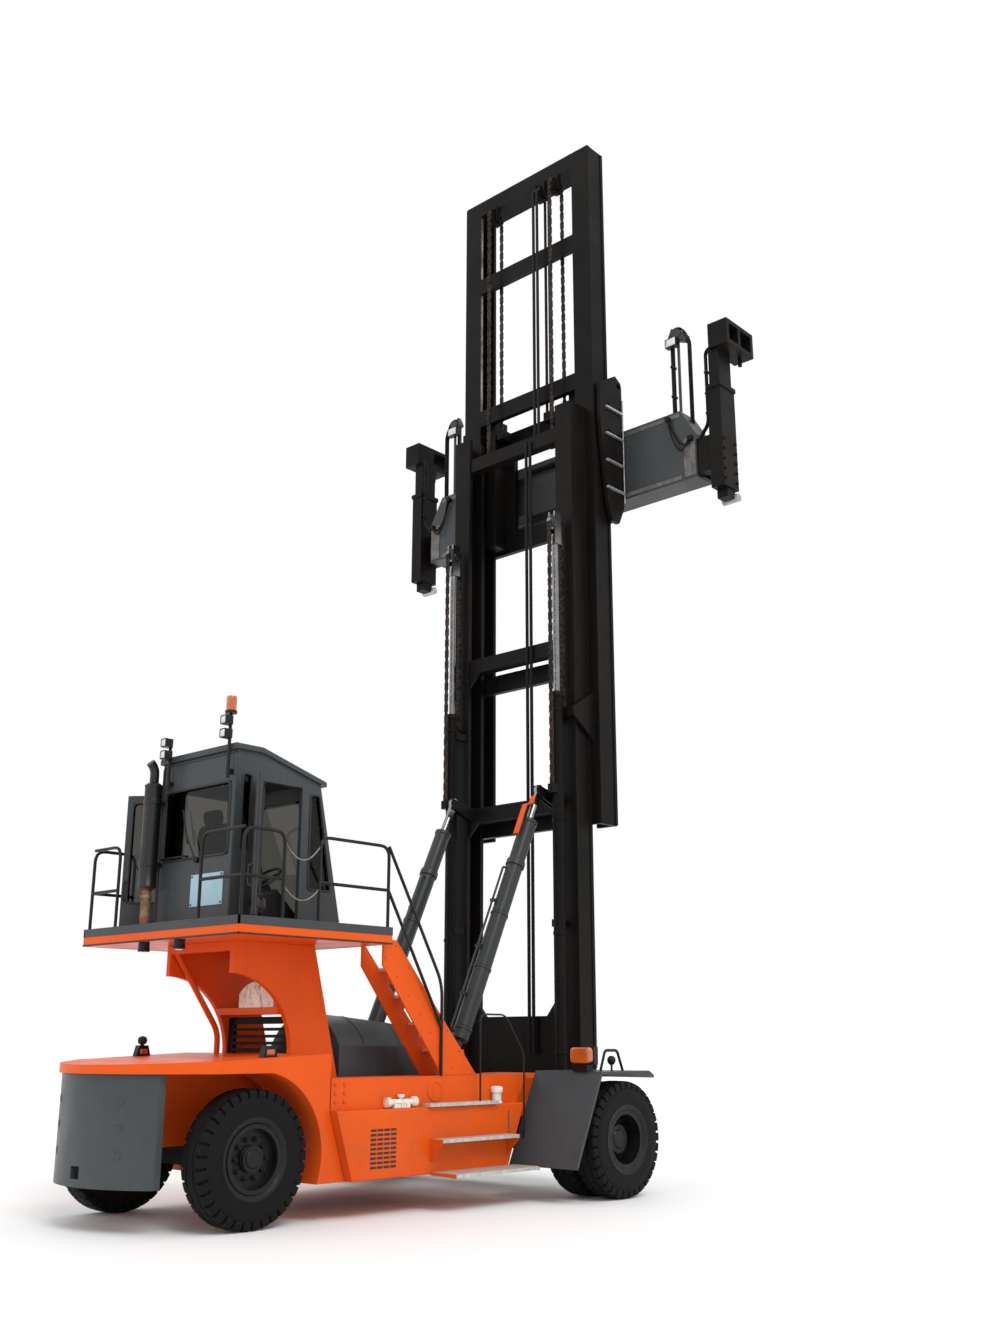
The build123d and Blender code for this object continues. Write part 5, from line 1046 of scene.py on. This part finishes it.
piece("kick_covers", "chassis", CHARCOAL, rim_band(2690, 2773, 3, 18))
piece("deck_strips", "chassis", SEAL, rim_band(2598, 2616, 4, 12))

# %% [markdown]
# A cheek plate on the near stringer and a gusset under each tread on the far one carry the treads' ends.

# %% Stair cheeks
PLATE = (0, -0.016, 0)
CHEEK = ((-2829, 2659), (-2640, 2659), (-1415, 1301), (-1661, 1301), (-1661, 1361))
TREADS, GOING, RISE = 4, 222, 272
cheeks = [prism([mm(x, -1162, z) for x, z in CHEEK], PLATE)]
for k in range(1, TREADS + 1):
    x, z = -2810 + GOING * k, 2632 - RISE * k
    cheeks.append(prism([mm(x + 5, -842, z), mm(x + 195, -842, z), mm(x + 150, -842, z - 160)], PLATE))
piece("stair_cheeks", "chassis", ORANGE, joined(*cheeks))

# %% [markdown]
# ## Cylinders
# Each barrel ends in a gland ring, and narrow rings clamp it along its length. A closed profile of radius and
# height, spun round the rod, makes both.

# %% Lift cylinder rings
def gland(inner, outer, height):
    """Ring round a rod, as a closed profile of radius and height."""
    step = outer - 0.012
    return [(inner, 0), (outer, 0), (outer, height * 0.7), (step, height), (inner, height), (inner, 0)]


lift_glands = [lathe(gland(0.047, 0.088, 0.07), mm(340, 930, 5888), (0, 0, 1), 28, False)]
for z in (1500, 2900, 4300, 5700):
    lift_glands.append(lathe(gland(0.0755, 0.083, 0.05), mm(340, 930, z), (0, 0, 1), 24, False))
piece("lift_glands", "mast_outer", MAST_BLACK, both(*lift_glands))

# %% [markdown]
# A tilt cylinder leans, so its fittings are placed along, out from and beside its axis. A hard pipe runs
# along each barrel, and a small orange guard is fixed behind the right rod's eye.

# %% Tilt cylinder fittings
FOOT, EYE_PIN = mm(-1300, 740, 1490), mm(190, 740, 4680)
ALONG = unit(EYE_PIN - FOOT)
ABOVE = np.cross(ALONG, [0, 1, 0])


def beside(along, out, aside=0.0):
    """Point at a distance along the tilt cylinder, out from its axis and to its side."""
    return FOOT + along * ALONG + out * ABOVE + np.array([0, aside, 0])


SLEEVE = [(0.058, 2.50), (0.098, 2.50), (0.098, 3.02), (0.108, 3.03), (0.108, 3.07), (0.060, 3.08),
          (0.058, 2.50)]
PIPE = ((0.26, 0.09), (0.26, 0.135), (2.36, 0.135), (2.36, 0.09))
rings = [lathe(gland(0.052, 0.116, 0.09), beside(2.42, 0), ALONG, 32, False),
         lathe(SLEEVE, FOOT, ALONG, 32, False)]
rings += [lathe(gland(0.1005, 0.108, 0.04), beside(d, 0), ALONG, 32, False) for d in (0.30, 1.05, 1.75)]
line = tube(bent([beside(d, out, -0.05) for d, out in PIPE], 0.04), 0.014)
half = np.array([0.03, 0.03, 0.02])
clips = [slab(beside(d, 0.118, -0.05) - half, beside(d, 0.118, -0.05) + half) for d in (0.7, 1.3, 1.9)]
piece("tilt_pipes", "tilt_barrels", CYLINDER_GREY, both(*rings, line, *clips))
GUARD = ((2.80, 0.150), (2.80, 0.158), (3.22, 0.158), (3.30, 0.066), (3.40, 0.066), (3.40, 0.058),
         (3.29, 0.058), (3.21, 0.150))
guard = prism([beside(d, out, -0.04) for d, out in GUARD], (0, 0.08, 0))
piece("tilt_guards", "tilt_rods", ORANGE, mirrored(guard))

# %% [markdown]
# ## Mast rails
# The uprights are rolled sections: a lip stands proud along both edges of each outer face, and the rollers
# have polished the inner edge of the rear flange.

# %% Mast rails
lips = [slab(mm(x, 1199, 4310), mm(x + 46, 1213, 14290)) for x in (851, 1153)]
piece("inner_lips", "mast_inner", MAST_BLACK, both(*lips))
lips = [slab(mm(x, 1069, 1340), mm(x + 50, 1081, 10095)) for x in (521, 789)]
piece("outer_lips", "mast_outer", MAST_BLACK, both(*lips))
track = [slab(mm(853, 898, z0), mm(897, 901, z1)) for z0, z1 in ((10460, 12670), (12940, 14040))]
piece("worn_tracks", "mast_inner", WORN_TRACK, both(*track))

# %% [markdown]
# ## Carriage ends and spreader strips
# Bright ledges and a guide rod stand on the carriage ends, and grey wear strips line the spreader beam.

# %% Carriage ends and spreader strips
ledges = [slab(mm(1007, 1299, z - 2), mm(1383, 1333, z + 27)) for z in (8900, 9300, 9700, 10100)]
rod = tube(np.linspace(mm(1391, 1318, 8780), mm(1391, 1318, 10330), 4), 0.009, 8)
piece("carriage_ledges", "carriage", GALVANISED, both(*ledges, rod))
plate_bolts = [mm(x, 1300, z) for x in (1090, 1340) for z in (8990, 9390, 9790, 10190)]
piece("carriage_bolts", "carriage", MAST_BLACK, both(bolts(plate_bolts, (0, 1, 0), 0.02)))
strips = [slab(mm(1424, 780, z), mm(1431, 2240, z + 55)) for z in (8880, 9790)]
strips += [slab(mm(x0, 2290, 8890), mm(x1, 2470, 9440)) for x0, x1 in ((1422, 1431), (1789, 1797))]
piece("spreader_strips", "spreader", WEAR_STRIP, both(*strips))

# %% [markdown]
# ## Spreader hoses and lamps
# Three hoses climb each guide and turn over its head. Two more hang between clamps on the beam; a slack hose
# sags as a parabola between its ends.

# %% Spreader hoses and lamps
GUIDE = ((2055, 9880), (2055, 11020), (2080, 11245), (2215, 11230), (2330, 11000), (2330, 9720))
HOSE_R, LOOP_Y, LOOP_Z, LOOP_DROP = 0.013, 2070, 9790, 380
hoses = [tube(bent([mm(x, y, z) for y, z in GUIDE], 0.07), HOSE_R, 8) for x in (1580, 1610, 1640)]
share = np.linspace(0, 1, 25)
for x, sag, y1 in ((1404, 210, 2440), (1376, 300, 2400)):
    height = LOOP_Z - LOOP_DROP * share - 4 * sag * share * (1 - share)
    hang = np.stack([np.full_like(share, x), LOOP_Y + (y1 - LOOP_Y) * share, height], -1) / 1000
    hoses.append(tube(hang + [SHIFT, 0, 0], HOSE_R, 8))
CLAMPS = (
    # low corner, high corner
    ((1560, 2035, 10200), (1660, 2075, 10235)), ((1560, 2035, 10650), (1660, 2075, 10685)),
    ((1362, 2040, 9760), (1432, 2100, 9820)), ((1362, 2385, 9380), (1432, 2455, 9440)),
)
clamps = [slab(mm(*low), mm(*high)) for low, high in CLAMPS]
piece("spreader_hoses", "spreader", HOSE, both(*hoses, *clamps))
lamp = slab(mm(1480, 2010, 10930), mm(1572, 2190, 11060))
piece("spreader_lamps", "spreader", RAIL_BLACK, both(lamp))
glow = pad(mm(1479, 2100, 10995), (0, -0.08, 0), (0, 0, 0.055), 0.010)
piece("spreader_lenses", "spreader", LENS, both(glow))

# %% [markdown]
# ## Spreader arms
# Each arm has two clipped hoses down its post, a bright roller at its foot and a double row of bolts.

# %% Spreader arms
ROLLER = [(0.02, -0.005), (0.054, 0), (0.056, 0.01), (0.056, 0.23), (0.054, 0.24), (0.02, 0.245)]
ARM_HOSE = ((2735, 10660), (2668, 10640), (2668, 9560), (2560, 9440), (2540, 9400))
for side, sign in (("left", 1), ("right", -1)):
    runs = [tube(bent([mm(x, sign * y, z) for y, z in ARM_HOSE], 0.08), 0.015, 8) for x in (1452, 1486)]
    runs += [slab(mm(1436, sign * 2650, z), mm(1502, sign * 2701, z + 30)) for z in (9700, 9990, 10300)]
    piece("arm_hoses_" + side, "arm_" + side, HOSE, joined(*runs))
    roller = lathe(ROLLER, mm(1730, sign * 2680, 8520), (0, sign, 0), 28)
    piece("arm_roller_" + side, "arm_" + side, GALVANISED, roller)
    rows = [mm(x, sign * 2903, z) for x in (1460, 1730) for z in (8720, 8860, 9000, 9140, 9280)]
    piece("arm_bolts_" + side, "arm_" + side, MAST_BLACK, bolts(rows, (0, sign, 0), 0.02))
